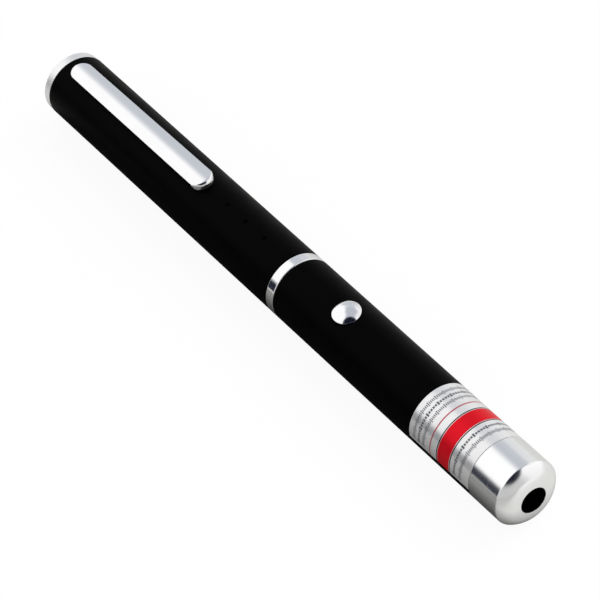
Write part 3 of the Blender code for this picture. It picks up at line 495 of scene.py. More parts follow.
# %% Begin, end and run a tree
def new_tree(name, labels):
    """An empty tree with named inputs, and the sockets that those inputs come in by."""
    tree = bpy.data.node_groups.new(name, "GeometryNodeTree")
    sides = tree.interface
    sides.new_socket("Geometry", in_out="INPUT", socket_type="NodeSocketGeometry")
    for label, kind in labels:
        sides.new_socket(label, in_out="INPUT", socket_type="NodeSocket" + kind)
    sides.new_socket("Geometry", in_out="OUTPUT", socket_type="NodeSocketGeometry")
    print(f"tree '{name}' with {len(labels)} named inputs")
    return tree, tree.nodes.new("NodeGroupInput").outputs


def end_tree(tree, geometry, paint):
    """Ends a tree in real geometry that wears its finish."""
    real = result(tree, "GeometryNodeRealizeInstances", {"Geometry": geometry})
    painted = result(tree, "GeometryNodeSetMaterial", {"Geometry": real, "Material": paint})
    last = tree.nodes.new("NodeGroupOutput")
    tree.links.new(painted, last.inputs[0])


def baked(host):
    """The evaluated shape as a plain mesh. The host and its modifiers go."""
    depsgraph = bpy.context.evaluated_depsgraph_get()
    mesh = bpy.data.meshes.new_from_object(host.evaluated_get(depsgraph))
    bpy.data.objects.remove(host)
    return mesh


def grown(tree, name, start, values):
    """Runs a tree on a starting mesh, with its inputs set by their identifiers."""
    host = bpy.data.objects.new(name, start)
    bpy.context.scene.collection.objects.link(host)
    change = host.modifiers.new(tree.name, "NODES")
    change.node_group = tree
    for item in tree.interface.items_tree:
        if item.in_out == "INPUT" and item.name in values:
            change[item.identifier] = values[item.name]
    return baked(host)


# %% The lathe
MERGE = 0.0000001


def lathe_tree():
    labels = [("Sides", "Int"), ("First Angle", "Float"), ("Span", "Float")]
    tree, given = new_tree("turn on a lathe", labels + [("Finish", "Material")])
    size = add(tree, "GeometryNodeAttributeDomainSize", {"Geometry": given["Geometry"]})
    rows = size.outputs["Point Count"]
    columns = whole(tree, "ADD", given["Sides"], 1)
    grid = add(tree, "GeometryNodeMeshGrid", {"Vertices X": columns, "Vertices Y": rows})
    index = result(tree, "GeometryNodeInputIndex")
    place = result(tree, "GeometryNodeInputPosition")
    inputs = {"Geometry": given["Geometry"], "Value": place}
    inputs["Index"] = whole(tree, "MODULO", index, rows)
    vectors = {"data_type": "FLOAT_VECTOR", "domain": "POINT"}
    sample = result(tree, "GeometryNodeSampleIndex", inputs, **vectors)
    profile = add(tree, "ShaderNodeSeparateXYZ", {0: sample}).outputs
    share = calc(tree, "DIVIDE", whole(tree, "DIVIDE", index, rows), given["Sides"])
    angle = calc(tree, "MULTIPLY_ADD", share, given["Span"], given["First Angle"])
    across = calc(tree, "MULTIPLY", profile[1], calc(tree, "SINE", angle))
    up = calc(tree, "MULTIPLY", profile[1], calc(tree, "COSINE", angle))
    point = vector(tree, profile[0], across, up)
    inputs = {"Geometry": grid.outputs["Mesh"], "Position": point}
    bent = result(tree, "GeometryNodeSetPosition", inputs)
    closed = result(tree, "GeometryNodeMergeByDistance", {"Geometry": bent, "Distance": MERGE})
    end_tree(tree, closed, given["Finish"])
    return tree


LATHE = lathe_tree()
TURN = 2 * math.pi
QUARTER_TURN = TURN / 4
SIDES = 192
SMALL_SIDES = 96
PIN_SIDES = 48


def turned(name, outline, paint, sides=SIDES, first=0.0, span=TURN):
    """A mesh of an outline of (forward, radius) points, turned about X. It isn't raised yet."""
    wire_mesh = bpy.data.meshes.new(name)
    links = [(number, number + 1) for number in range(len(outline) - 1)]
    wire_mesh.from_pydata([(x, r, 0) for x, r in outline], links, [])
    values = {"Sides": sides, "First Angle": first, "Span": span, "Finish": paint}
    return grown(LATHE, name, wire_mesh, values)


# %% [markdown]
# ## Rounded outlines
#
# No real edge is sharp: a lathe tool leaves a small radius, and plating rounds it further. The
# helper takes the corners of a profile, each with its own radius, and puts an arc at each. It
# also sets a point just outside each arc, because without it the smooth shading of a long tube
# would bend all the way along instead of only at its edge.

# %% Outlines with rounded corners
ARC_STEPS = 4
SUPPORT = 0.00006


def rounded(corners, closed=True):
    """(forward, radius, rounding) corners as outline points. A closed outline meets its start."""
    points = []
    count = len(corners)
    for index, (forward, radius, rounding) in enumerate(corners):
        here = Vector((forward, radius))
        if not rounding:
            points.append(here)
            continue
        back = (Vector(corners[index - 1][:2]) - here).normalized()
        ahead = (Vector(corners[(index + 1) % count][:2]) - here).normalized()
        half = back.angle(ahead) / 2
        reach = rounding / math.tan(half)
        centre = here + (back + ahead).normalized() * rounding / math.sin(half)
        start = here + back * reach - centre
        end = here + ahead * reach - centre
        sweep = math.pi - 2 * half
        points.append(here + back * (reach + SUPPORT))
        for step in range(ARC_STEPS + 1):
            share = step / ARC_STEPS
            one = math.sin((1 - share) * sweep) / math.sin(sweep)
            other = math.sin(share * sweep) / math.sin(sweep)
            points.append(centre + start * one + end * other)
        points.append(here + ahead * (reach + SUPPORT))
    if closed:
        points.append(points[0])
    return [(point.x, point.y) for point in points]


# %% [markdown]
# ## Finishing a piece
#
# Each mesh goes through the same last steps: close seams, turn its faces outwards, smooth it but
# keep edges over 35 degrees crisp, hang it on the half that it moves with and hide the node of the
# frame that it stands for. The print shows how far its box is from the box of the node that it
# replaces.

# %% From a mesh to a piece of the pen
RAISED = Matrix.Translation((0, 0, AXIS_HEIGHT))
CRISP = math.radians(35)


def raised(mesh):
    """The mesh lifted from the X axis to the pen's own line."""
    mesh.transform(RAISED)
    return mesh


def tidied(mesh):
    """Closes seams, points faces outwards and sets the shading. Returns how many edges are open."""
    bm = bmesh.new()
    bm.from_mesh(mesh)
    bmesh.ops.remove_doubles(bm, verts=bm.verts, dist=MERGE)
    bmesh.ops.recalc_face_normals(bm, faces=bm.faces)
    open_edges = sum(1 for edge in bm.edges if not edge.is_manifold)
    bm.to_mesh(mesh)
    bm.free()
    mesh.shade_smooth()
    mesh.set_sharp_from_angle(angle=CRISP)
    return open_edges


def piece(mesh, name, body, slot, *nodes):
    open_edges = tidied(mesh)
    made = bpy.data.objects.new(name, mesh)
    bpy.context.scene.collection.objects.link(made)
    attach(made, body)
    message = f"{name}: {len(mesh.polygons)} faces, {open_edges} open edges"
    if nodes:
        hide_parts(*nodes)
        low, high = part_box(nodes[0])
        places = [vertex.co for vertex in mesh.vertices]
        off = 0
        for side in range(3):
            off = max(off, abs(min(p[side] for p in places) - low[side]))
            off = max(off, abs(max(p[side] for p in places) - high[side]))
        message += f", within {off * 1000:.2f} mm of {nodes[0]}"
    print(message)
    return made


def turned_piece(corners, paint, name, body, slot, node, sides=SIDES, closed=True):
    """A piece that needs no more work than turning its rounded outline."""
    mesh = turned(name, rounded(corners, closed), paint, sides)
    return piece(raised(mesh), name, body, slot, node)


# %% Join and cut meshes
def joined(*meshes):
    """Several meshes as one, all wearing the first one's finishes."""
    bm = bmesh.new()
    for mesh in meshes:
        bm.from_mesh(mesh)
    bm.to_mesh(meshes[0])
    bm.free()
    return meshes[0]


def carved(mesh, tool, name):
    """The mesh with the tool's shape cut out of it."""
    host = bpy.data.objects.new(name, mesh)
    cutter = bpy.data.objects.new(name + "_cutter", tool)
    for made in (host, cutter):
        bpy.context.scene.collection.objects.link(made)
    change = host.modifiers.new("cut", "BOOLEAN")
    change.operation = "DIFFERENCE"
    change.solver = "EXACT"
    change.object = cutter
    cut = baked(host)
    bpy.data.objects.remove(cutter)
    return cut


# %% [markdown]
# ## Helices: springs and screw threads
#
# A spring and a thread are both a round section carried along a helix, so one tree winds both. A
# thread's ridge lies half sunk in its tube and thins out over its last half turn, as a cut thread
# does; the tail spring's radius shrinks from turn to turn, and its end turns lie flat. Those
# differences are inputs of the tree: two radii, a flat share, a fading share and an end size.

# %% The helix tree
HELIX_SIDES = 12


def helix_tree():
    labels = [("Steps", "Int"), ("Finish", "Material")]
    numbers = ("Turns", "Start", "Length", "First Radius", "Last Radius", "Section Radius")
    labels += [(label, "Float") for label in numbers + ("Flat Share", "Fade Share", "End Size")]
    tree, given = new_tree("wind a helix", labels)
    line = result(tree, "GeometryNodeMeshLine", {"Count": given["Steps"]})
    curve = result(tree, "GeometryNodeMeshToCurve", {"Mesh": line})
    index = result(tree, "GeometryNodeInputIndex")
    share = calc(tree, "DIVIDE", index, calc(tree, "SUBTRACT", given["Steps"], 1))
    angle = calc(tree, "MULTIPLY", calc(tree, "MULTIPLY", share, given["Turns"]), TURN)
    far_flat = calc(tree, "SUBTRACT", 1, given["Flat Share"])
    climbed = spread(tree, share, given["Flat Share"], far_flat, 0.0, given["Length"])
    forward = calc(tree, "ADD", given["Start"], climbed)
    radius = spread(tree, share, 0.0, 1.0, given["First Radius"], given["Last Radius"])
    across = calc(tree, "MULTIPLY", radius, calc(tree, "SINE", angle))
    up = calc(tree, "MULTIPLY", radius, calc(tree, "COSINE", angle))
    inputs = {"Geometry": curve, "Position": vector(tree, forward, across, up)}
    coil = result(tree, "GeometryNodeSetPosition", inputs)
    from_end = calc(tree, "MINIMUM", share, calc(tree, "SUBTRACT", 1, share))
    size = spread(tree, from_end, 0.0, given["Fade Share"], given["End Size"], 1.0)
    sized = result(tree, "GeometryNodeSetCurveRadius", {"Curve": coil, "Radius": size})
    inputs = {"Resolution": HELIX_SIDES, "Radius": given["Section Radius"]}
    section = result(tree, "GeometryNodeCurvePrimitiveCircle", inputs)
    inputs = {"Curve": sized, "Profile Curve": section, "Fill Caps": True}
    swept = result(tree, "GeometryNodeCurveToMesh", inputs)
    end_tree(tree, swept, given["Finish"])
    return tree


HELIX = helix_tree()


def wound(name, paint, values):
    """A helix about X, from a tree run on an empty mesh."""
    values["Finish"] = paint
    return grown(HELIX, name, bpy.data.meshes.new(name), values)


# %% [markdown]
# ## Rear barrel
#
# The longer black tube holds most of both cells. Its bore is stepped: wide at the back for the
# tail plug, narrow along the cells, and wide again at the front, where a thread is cut in it. It
# is turned from one outline, three small dimples and the hole for the clip's rivet are cut, and
# then the ridge of the thread is laid in. The dimples repeat, so a tree sets their cutters out
# in a row.

# %% Sizes of the tubes and the ridge of a thread
BORE = 0.0061
CELL_BORE = 0.0056
PLUG_DEPTH = 0.0070
SPIGOT = BORE - 0.00015
SPIGOT_BORE = SPIGOT - 0.0006
EDGE = 0.0002
INNER_EDGE = 0.0001
THIN_EDGE = 0.00008
FINE_EDGE = 0.00005
PROUD = 0.001

THREAD_ROOT = 0.00635
THREAD_SECTION = 0.00025
THREAD_PITCH = 0.0010
THREAD_LENGTH = 0.0046
THREAD_LEAD = 0.0002
THREAD_RELIEF = 0.0006
THREAD_FADE = 0.11
THREAD_END = 0.05
print(f"a spigot's radius is {(BORE - SPIGOT) * 1000:.2f} mm less than its bore's")
print(f"the thread has {THREAD_LENGTH / THREAD_PITCH:.1f} turns")


def thread_ridge(name, paint, start, length, root, steps):
    """The ridge of a screw thread, half sunk at its root radius and thin at both ends."""
    values = {
        "Steps": steps,
        "Turns": length / THREAD_PITCH,
        "Start": start,
        "Length": length,
        "First Radius": root,
        "Last Radius": root,
        "Section Radius": THREAD_SECTION,
        "Flat Share": 0.0,
        "Fade Share": THREAD_FADE,
        "End Size": THREAD_END,
    }
    return wound(name, paint, values)


# %% The rear tube
thread_start = REAR_END - THREAD_LEAD - THREAD_LENGTH
bore_step = thread_start - THREAD_RELIEF
corners = [
    (REAR_START, BORE, INNER_EDGE),
    (REAR_START + PLUG_DEPTH, BORE, 0),
    (REAR_START + PLUG_DEPTH, CELL_BORE, INNER_EDGE),
    (bore_step, CELL_BORE, INNER_EDGE),
    (bore_step, THREAD_ROOT, 0),
    (REAR_END, THREAD_ROOT, INNER_EDGE),
    (REAR_END, PEN_RADIUS, EDGE),
    (REAR_START, PEN_RADIUS, EDGE),
]
rear_tube = turned("rear_tube", rounded(corners), LACQUER)
print(f"rear tube: {len(rear_tube.polygons)} faces before it is cut")


# %% The tree that repeats in a row
def row_tree():
    labels = [("Count", "Int"), ("Spacing", "Float"), ("Finish", "Material")]
    tree, given = new_tree("repeat in a row", labels)
    inputs = {"Count": given["Count"], "Offset": vector(tree, given["Spacing"])}
    line = result(tree, "GeometryNodeMeshLine", inputs)
    inputs = {"Points": line, "Instance": given["Geometry"]}
    copies = result(tree, "GeometryNodeInstanceOnPoints", inputs)
    end_tree(tree, copies, given["Finish"])
    return tree


ROW = row_tree()

# %% Drill bits for the dimples and the rivet's hole
UPRIGHT = Matrix.Rotation(-QUARTER_TURN, 4, "Y")
DIMPLE_RADIUS = 0.0005
DIMPLE_DEPTH = 0.0004
DIMPLE_ROUNDING = 0.0003
DIMPLE_COUNT = 3
DIMPLE_FIRST = REAR_END - 0.0079
DIMPLE_SPACING = -0.0063
BIT_SIDES = 32

# Radius, lowest and highest place of the cut for the rivet, from the pen's line
RIVET_BIT = (0.0010, 0.005, 0.0085)


def upright(name, outline, paint, place, sides=PIN_SIDES):
    """Turned about a vertical line. Heights count from the pen's line, which is raised here."""
    mesh = turned(name, outline, paint, sides)
    mesh.transform(Matrix.Translation((place, 0, AXIS_HEIGHT)) @ UPRIGHT)
    return mesh


def drill_bit(name, bit, place, sides):
    """A plain upright cylinder that cuts a round hole."""
    radius, low, high = bit
    outline = [(low, 0), (low, radius), (high, radius), (high, 0)]
    return upright(name, outline, LACQUER, place, sides)


dimple_floor = PEN_RADIUS - DIMPLE_DEPTH
corners = [
    (dimple_floor, 0, 0),
    (dimple_floor, DIMPLE_RADIUS, DIMPLE_ROUNDING),
    (PEN_RADIUS + PROUD, DIMPLE_RADIUS, 0),
    (PEN_RADIUS + PROUD, 0, 0),
]
outline = rounded(corners, closed=False)
one_bit = upright("dimple_bit", outline, LACQUER, DIMPLE_FIRST, BIT_SIDES)
values = {"Count": DIMPLE_COUNT, "Spacing": DIMPLE_SPACING, "Finish": LACQUER}
bits = grown(ROW, "dimple_bits", one_bit, values)

rivet_low, rivet_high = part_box("clip_stud")
RIVET_PLACE = (rivet_low.x + rivet_high.x) / 2
bits = joined(bits, drill_bit("rivet_hole_bit", RIVET_BIT, RIVET_PLACE, BIT_SIDES))
print(f"rivet hole {(RIVET_PLACE - REAR_START) * 1000:.1f} mm from the tube's rear end")

# %% Cut, thread and place the rear tube
tidied(bits)
tidied(raised(rear_tube))
rear_tube = carved(rear_tube, bits, "rear_tube")
INNER_STEPS = 260
ridge_place = (thread_start, THREAD_LENGTH, THREAD_ROOT)
inner_ridge = raised(thread_ridge("inner_ridge", LACQUER, *ridge_place, steps=INNER_STEPS))
piece(joined(rear_tube, inner_ridge), "rear_tube", "rear_half", "black_lacquer", "rear_barrel")

# %% [markdown]
# ## Front barrel
#
# The shorter tube carries the works. Two things are cut in it: the round hole for the button, and
# a shallow pocket in which the film label lies. The pocket stops short of going all the way round
# and leaves a bare strip where the ends of the film would meet. Both are cut as solids, because
# the rim of a round hole in a round tube is a curve that a lathe can't make.

# %% The front tube
button_low, button_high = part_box("push_button")
BUTTON_PLACE = (button_low.x + button_high.x) / 2
BUTTON_BIT = (0.00305, 0, 0.009)
LABEL_FIRST = math.radians(-90)
LABEL_SPAN = math.radians(308)
LABEL_SLACK = math.radians(0.5)
POCKET_DEPTH = 0.0002
POCKET_GAP = 0.00005
LABEL_STEPS = 164

corners = [
    (FRONT_START, BORE, INNER_EDGE),
    (FRONT_END, BORE, INNER_EDGE),
    (FRONT_END, PEN_RADIUS, 0),
    (FRONT_START, PEN_RADIUS, EDGE),
]
front_tube = raised(turned("front_tube", rounded(corners), LACQUER))
open_edges = tidied(front_tube)
print(f"front tube: {open_edges} open edges before it is cut")

# %% Cut the button's hole and the label's pocket
hole_bit = drill_bit("button_hole_bit", BUTTON_BIT, BUTTON_PLACE, SMALL_SIDES)
pocket_low = PEN_RADIUS - POCKET_DEPTH
pocket_high = PEN_RADIUS + PROUD
pocket_start = LABEL_START - POCKET_GAP
pocket_end = FRONT_END + PROUD
pocket = [
    (pocket_start, pocket_low),
    (pocket_start, pocket_high),
    (pocket_end, pocket_high),
    (pocket_end, pocket_low),
    (pocket_start, pocket_low),
]


def sealed(mesh):
    """Closes the two flat ends that a part-turn leaves open."""
    bm = bmesh.new()
    bm.from_mesh(mesh)
    bmesh.ops.remove_doubles(bm, verts=bm.verts, dist=MERGE)
    bmesh.ops.holes_fill(bm, edges=[edge for edge in bm.edges if edge.is_boundary], sides=0)
    bm.to_mesh(mesh)
    bm.free()
    return mesh


first = LABEL_FIRST - LABEL_SLACK
span = LABEL_SPAN + 2 * LABEL_SLACK
pocket_bit = raised(sealed(turned("pocket_bit", pocket, LACQUER, LABEL_STEPS + 1, first, span)))
for bit_mesh in (hole_bit, pocket_bit):
    tidied(bit_mesh)
    front_tube = carved(front_tube, bit_mesh, "front_tube")
piece(front_tube, "front_tube", "front_half", "black_lacquer", "front_barrel")

# %% [markdown]
# ## Film label and its marks
#
# The label is a thin sleeve that goes 308 degrees round, made by the same lathe with a shorter
# span. On it are rows of small printed marks, every fifth one longer, like the graduations of a
# scale. Hundreds of little blocks are just what instances are for: a tree sets points round an
# arc, puts a thin block on each and turns it to lie on the surface.

# %% The label
FILM_SUNK = 0.00002
FILM_THICKNESS = 0.0001
FILM_EDGE = 0.00003
FILM_OUTER = PEN_RADIUS - FILM_SUNK
FILM_INNER = FILM_OUTER - FILM_THICKNESS
corners = [
    (LABEL_START, FILM_INNER, 0),
    (LABEL_START, FILM_OUTER, FILM_EDGE),
    (LABEL_END, FILM_OUTER, FILM_EDGE),
    (LABEL_END, FILM_INNER, 0),
]
outline = rounded(corners)
label = sealed(turned("label_film", outline, FILM, LABEL_STEPS, LABEL_FIRST, LABEL_SPAN))
piece(raised(label), "label_film", "front_half", "foil", "foil_label")

# %% The tree that prints a row of marks
LONG_MARK = 1.7


def marks_tree():
    labels = [("Count", "Int"), ("Long Every", "Int"), ("Finish", "Material")]
    numbers = ("First Angle", "Span", "Place", "Radius", "Mark Length", "Mark Width", "Mark Depth")
    labels += [(label, "Float") for label in numbers]
    tree, given = new_tree("print a row of marks", labels)
    line = result(tree, "GeometryNodeMeshLine", {"Count": given["Count"]})
    index = result(tree, "GeometryNodeInputIndex")
    share = calc(tree, "DIVIDE", index, calc(tree, "SUBTRACT", given["Count"], 1))
    angle = calc(tree, "MULTIPLY_ADD", share, given["Span"], given["First Angle"])
    across = calc(tree, "MULTIPLY", given["Radius"], calc(tree, "SINE", angle))
    up = calc(tree, "MULTIPLY", given["Radius"], calc(tree, "COSINE", angle))
    inputs = {"Geometry": line, "Position": vector(tree, given["Place"], across, up)}
    arc = result(tree, "GeometryNodeSetPosition", inputs)
    size = vector(tree, given["Mark Length"], given["Mark Width"], given["Mark Depth"])
    block = result(tree, "GeometryNodeMeshCube", {"Size": size})
    lean = vector(tree, calc(tree, "MULTIPLY", angle, -1))
    turn = result(tree, "FunctionNodeEulerToRotation", {0: lean})
    is_long = calc(tree, "COMPARE", whole(tree, "MODULO", index, given["Long Every"]), 0, 0.5)
    stretch = spread(tree, is_long, 0.0, 1.0, 1.0, LONG_MARK)
    inputs = {"Points": arc, "Instance": block, "Rotation": turn}
    inputs["Scale"] = vector(tree, stretch, 1.0, 1.0)
    copies = result(tree, "GeometryNodeInstanceOnPoints", inputs)
    end_tree(tree, copies, given["Finish"])
    return tree


MARKS = marks_tree()

# %% Rows of marks
MARK_SUNK = 0.00001
MARK_DEPTH = 0.00003
MARKS_MARGIN = math.radians(8)
LONG_EVERY = 5

# Each row: place from the label's rear edge, how many marks, mark length and width
MARK_ROWS = (
    (0.0016, 96, 0.0006, 0.00020),
    (0.0030, 61, 0.0005, 0.00042),
    (0.0044, 96, 0.0006, 0.00020),
    (0.0137, 61, 0.0005, 0.00042),
    (0.0154, 96, 0.0007, 0.00020),
)
row_meshes = []
for place, count, mark_length, mark_width in MARK_ROWS:
    values = {
        "Count": count,
        "Long Every": LONG_EVERY,
        "First Angle": LABEL_FIRST + MARKS_MARGIN,
        "Span": LABEL_SPAN - 2 * MARKS_MARGIN,
        "Place": LABEL_START + place,
        "Radius": FILM_OUTER - MARK_SUNK,
        "Mark Length": mark_length,
        "Mark Width": mark_width,
        "Mark Depth": MARK_DEPTH,
        "Finish": INK,
    }
    row_meshes.append(grown(MARKS, "marks", bpy.data.meshes.new("marks"), values))
piece(raised(joined(*row_meshes)), "label_marks", "front_half", "foil")

# %% [markdown]
# ## Ring, tail plug and nose
#
# Three turned and plated pieces. The ring closes the gap between the halves. The tail plug shows
# as a low disc with a soft edge. The nose is a short cylinder that meets its dome at a crisp line,
# and the dome gets flatter towards the hole for the beam: its curve is drawn by three points, a
# weight that pulls it to the middle one, and the slopes at both ends.

# %% Ring and tail plug
corners = [
    (RING_START, BORE, INNER_EDGE),
    (RING_END, BORE, INNER_EDGE),
    (RING_END, PEN_RADIUS, EDGE),
    (RING_START, PEN_RADIUS, EDGE),
]
turned_piece(corners, CHROME, "middle_ring", "front_half", "chrome", "mid_ring")

PLUG_RADIUS = PEN_RADIUS - 0.0001
PLUG_RIM = 0.0005
PLUG_FLOOR = TAIL_FACE + 0.0010
PLUG_STEP = REAR_START - 0.0001
PLUG_STEP_EDGE = 0.00006
corners = [
    (TAIL_FACE, 0, 0),
    (TAIL_FACE, PLUG_RADIUS, PLUG_RIM),
    (PLUG_STEP, PLUG_RADIUS, PLUG_STEP_EDGE),
    (PLUG_STEP, SPIGOT, 0),
    (TAIL_PLUG_END, SPIGOT, INNER_EDGE),
    (TAIL_PLUG_END, SPIGOT_BORE, INNER_EDGE),
    (PLUG_FLOOR, SPIGOT_BORE, EDGE),
    (PLUG_FLOOR, 0, 0),
]
turned_piece(corners, BLASTED, "tail_plug", "rear_half", "chrome", "tail_cap", closed=False)

# %% Sizes of the nose
NOSE_START = FRONT_END + 0.00004
NOSE_CAVITY = 0.0036
CAVITY_END = NOSE_START + 0.0056
APERTURE = 0.0028
APERTURE_DEPTH = 0.0014
APERTURE_EDGE = 0.00006
DOME_LENGTH = 0.0024
CREASE_SLOPE = math.radians(36)
RIM_SLOPE = math.radians(84)
FULLNESS = 1.25
DOME_STEPS = 36
CREASE_ROUNDING = 0.0007
CREASE_CLEAR = 0.6 * CREASE_ROUNDING
print(f"the beam's hole is {APERTURE * 2000:.1f} mm across")

# %% The dome's curve
crease = Vector((NOSE_TIP - DOME_LENGTH, PEN_RADIUS))
hole_rim = Vector((NOSE_TIP, APERTURE + APERTURE_EDGE))
fall = crease.y - hole_rim.y - (hole_rim.x - crease.x) * math.tan(RIM_SLOPE)
forward = fall / (math.tan(CREASE_SLOPE) - math.tan(RIM_SLOPE))
shoulder = crease + Vector((forward, -forward * math.tan(CREASE_SLOPE)))
dome = []
for step in range(1, DOME_STEPS):
    share = step / DOME_STEPS
    pulls = ((1 - share) ** 2, 2 * FULLNESS * share * (1 - share), share**2)
    point = (crease * pulls[0] + shoulder * pulls[1] + hole_rim * pulls[2]) / sum(pulls)
    if (point - crease).length > CREASE_CLEAR:
        dome.append((point.x, point.y, 0))
print(f"{len(dome)} points from the crease to the hole")

# %% Turn the nose and paint shade on its inside
corners = [
    (NOSE_SPIGOT, SPIGOT_BORE, INNER_EDGE),
    (NOSE_SPIGOT, SPIGOT, EDGE),
    (NOSE_START, SPIGOT, 0),
    (NOSE_START, PEN_RADIUS, THIN_EDGE),
    (crease.x, PEN_RADIUS, CREASE_ROUNDING),
    *dome,
    (NOSE_TIP, APERTURE + APERTURE_EDGE, FINE_EDGE),
    (NOSE_TIP - APERTURE_EDGE, APERTURE, FINE_EDGE),
    (NOSE_TIP - APERTURE_DEPTH, APERTURE, 0),
    (CAVITY_END, NOSE_CAVITY, 0),
    (CAVITY_END, SPIGOT_BORE, 0),
]
nose = turned("nose_shell", rounded(corners), SATIN)
tidied(nose)
# Every face that looks inwards, short of the hole's rim, gets the painted shade of the hole
inside_slot = len(nose.materials)
nose.materials.append(PAINTED_HOLE_SHADE)
shaded = 0
black_from = NOSE_TIP - APERTURE_EDGE - FINE_EDGE
for polygon in nose.polygons:
    middle = polygon.center
    outward = Vector((0, middle.y, middle.z))
    if polygon.normal.dot(outward) < 0 and middle.x < black_from:
        polygon.material_index = inside_slot
        shaded += 1
print(f"{shaded} faces inside the nose are blackened")
piece(raised(nose), "nose_shell", "front_half", "satin_chrome", "nose_cap")

# %% [markdown]
# ## Button
#
# The button is a domed cap with a flange under it that keeps it from falling out. It is turned
# like the rest, but about a vertical line. The dome is a cap of a ball, fine enough that what it
# reflects has smooth outlines, and it meets the straight side at a crisp edge.

# %% The button
BUTTON_RADIUS = 0.0029
BUTTON_EDGE = 0.00003
BUTTON_STEPS = 28
FLANGE_RADIUS = 0.0033
FLANGE_HEIGHT = 0.0006
DOME_HEIGHT = 0.00084
top = button_high.z - AXIS_HEIGHT
bottom = button_low.z - AXIS_HEIGHT
rim = top - DOME_HEIGHT
corners = [
    (bottom, 0, 0),
    (bottom, FLANGE_RADIUS, INNER_EDGE),
    (bottom + FLANGE_HEIGHT, FLANGE_RADIUS, INNER_EDGE),
    (bottom + FLANGE_HEIGHT, BUTTON_RADIUS, 0),
]
ball = (BUTTON_RADIUS**2 + DOME_HEIGHT**2) / (2 * DOME_HEIGHT)
rim_tilt = math.asin(BUTTON_RADIUS / ball)
corners.append((rim, BUTTON_RADIUS, BUTTON_EDGE))
for step in range(1, BUTTON_STEPS + 1):
    tilt = rim_tilt * (1 - step / BUTTON_STEPS)
    corners.append((top - ball * (1 - math.cos(tilt)), ball * math.sin(tilt), 0))
print(f"the dome meets the button's side at {math.degrees(rim_tilt):.0f} degrees")
outline = rounded(corners, closed=False)
button = upright("button_cap", outline, CHROME, BUTTON_PLACE, SMALL_SIDES)
piece(button, "button_cap", "button", "chrome", "push_button")

# %% [markdown]
# ## Pocket clip
#
# The clip is a pressed strip of spring steel: crowned across its width, round at both ends,
# rising a little along its length and turned down at its tip. A flat shape bent by modifiers
# would do, but its crown, outline and bend all depend on the distance along it, so it is lofted:
# for each distance there is a section, set square to the strip's path. Near the tip each section
# is also swept back towards its sides, so that the turned-down lip wraps round the end. A bevel
# then breaks every edge.

# %% Sizes of the clip
CLIP_LENGTH = 0.0482
CLIP_TAIL_HALF = 0.00233
CLIP_TIP_HALF = 0.00252
CLIP_SHEET = 0.0005
CLIP_CROWN = 0.00030
CLIP_STAND_OFF = 0.0010
CLIP_RISE = 0.0006
BEND_RADIUS = 0.0008
TIP_CORNER = 0.0007
TIP_SWEEP = 0.0016
SWEEP_LENGTH = 0.0035
TIP_ROUNDNESS = 0.85
TIP_GAP = 0.00015
bend = math.radians(80)
slope = math.asin(CLIP_RISE / CLIP_LENGTH)
bend_forward = BEND_RADIUS * (math.sin(slope) + math.sin(bend))
bend_drop = BEND_RADIUS * (math.cos(slope) - math.cos(bend))
tip_depth = CLIP_RISE + CLIP_STAND_OFF - TIP_GAP - bend_drop
lip = (tip_depth - CLIP_SHEET * math.cos(bend)) / math.sin(bend)
straight = (CLIP_LENGTH - bend_forward - lip * math.cos(bend)) / math.cos(slope)
clip_total = straight + BEND_RADIUS * (bend + slope) + lip
print(f"the strip is {clip_total * 1000:.1f} mm long along its bend")

# %% The clip's path and outline
def clip_path(along):
    """(forward, up, angle below level) of the strip's top line at this distance."""
    run = min(along, straight)
    forward = run * math.cos(slope)
    up = run * math.sin(slope)
    angle = -slope
    if along > straight:
        angle += min((along - straight) / BEND_RADIUS, bend + slope)
        forward += BEND_RADIUS * (math.sin(angle) + math.sin(slope))
        up -= BEND_RADIUS * (math.cos(slope) - math.cos(angle))
    over = max(along - straight - BEND_RADIUS * (bend + slope), 0)
    return forward + over * math.cos(angle), up - over * math.sin(angle), angle


def clip_half_width(along):
    width = CLIP_TAIL_HALF + (CLIP_TIP_HALF - CLIP_TAIL_HALF) * along / clip_total
    if along < CLIP_TAIL_HALF:
        left = 1 - along / CLIP_TAIL_HALF
        return width * math.sqrt(1 - left * left)
    ahead = clip_total - along
    if ahead < TIP_CORNER:
        left = 1 - ahead / TIP_CORNER
        return width - TIP_CORNER * (1 - math.sqrt(max(1 - left * left, 0)))
    return width


def tip_sweep(across, along):
    """How far back the tip's round end lies at this place across the strip."""
    share = min(max((along - straight + SWEEP_LENGTH) / SWEEP_LENGTH, 0), 1)
    roundness = TIP_ROUNDNESS * across / CLIP_TIP_HALF
    depth = (1 - math.sqrt(1 - roundness * roundness)) / (1 - math.sqrt(1 - TIP_ROUNDNESS**2))
    return TIP_SWEEP * depth * share * share * (3 - 2 * share)


# %% Where along the clip its sections lie
CORNER_STEPS = 16
STRAIGHT_STEPS = 40
SWEEP_STEPS = 14
BEND_STEPS = 20
FIRST_STATION = 0.00001
LEAST_STEP = 0.00005
quarter = [math.cos(QUARTER_TURN * step / CORNER_STEPS) for step in range(CORNER_STEPS + 1)]
stations = {CLIP_TAIL_HALF * (1 - share) for share in quarter[1:]}
stations |= {clip_total - TIP_CORNER * (1 - share) for share in quarter}
stations |= {straight * step / STRAIGHT_STEPS for step in range(3, STRAIGHT_STEPS + 1)}
stations |= {straight - SWEEP_LENGTH * step / SWEEP_STEPS for step in range(1, SWEEP_STEPS)}
beyond = clip_total - straight
stations |= {straight + beyond * step / BEND_STEPS for step in range(1, BEND_STEPS)}
kept = [FIRST_STATION]
for station in sorted(stations):
    if station - kept[-1] > LEAST_STEP:
        kept.append(station)
print(f"{len(kept)} sections, closest together at the ends and the bend")

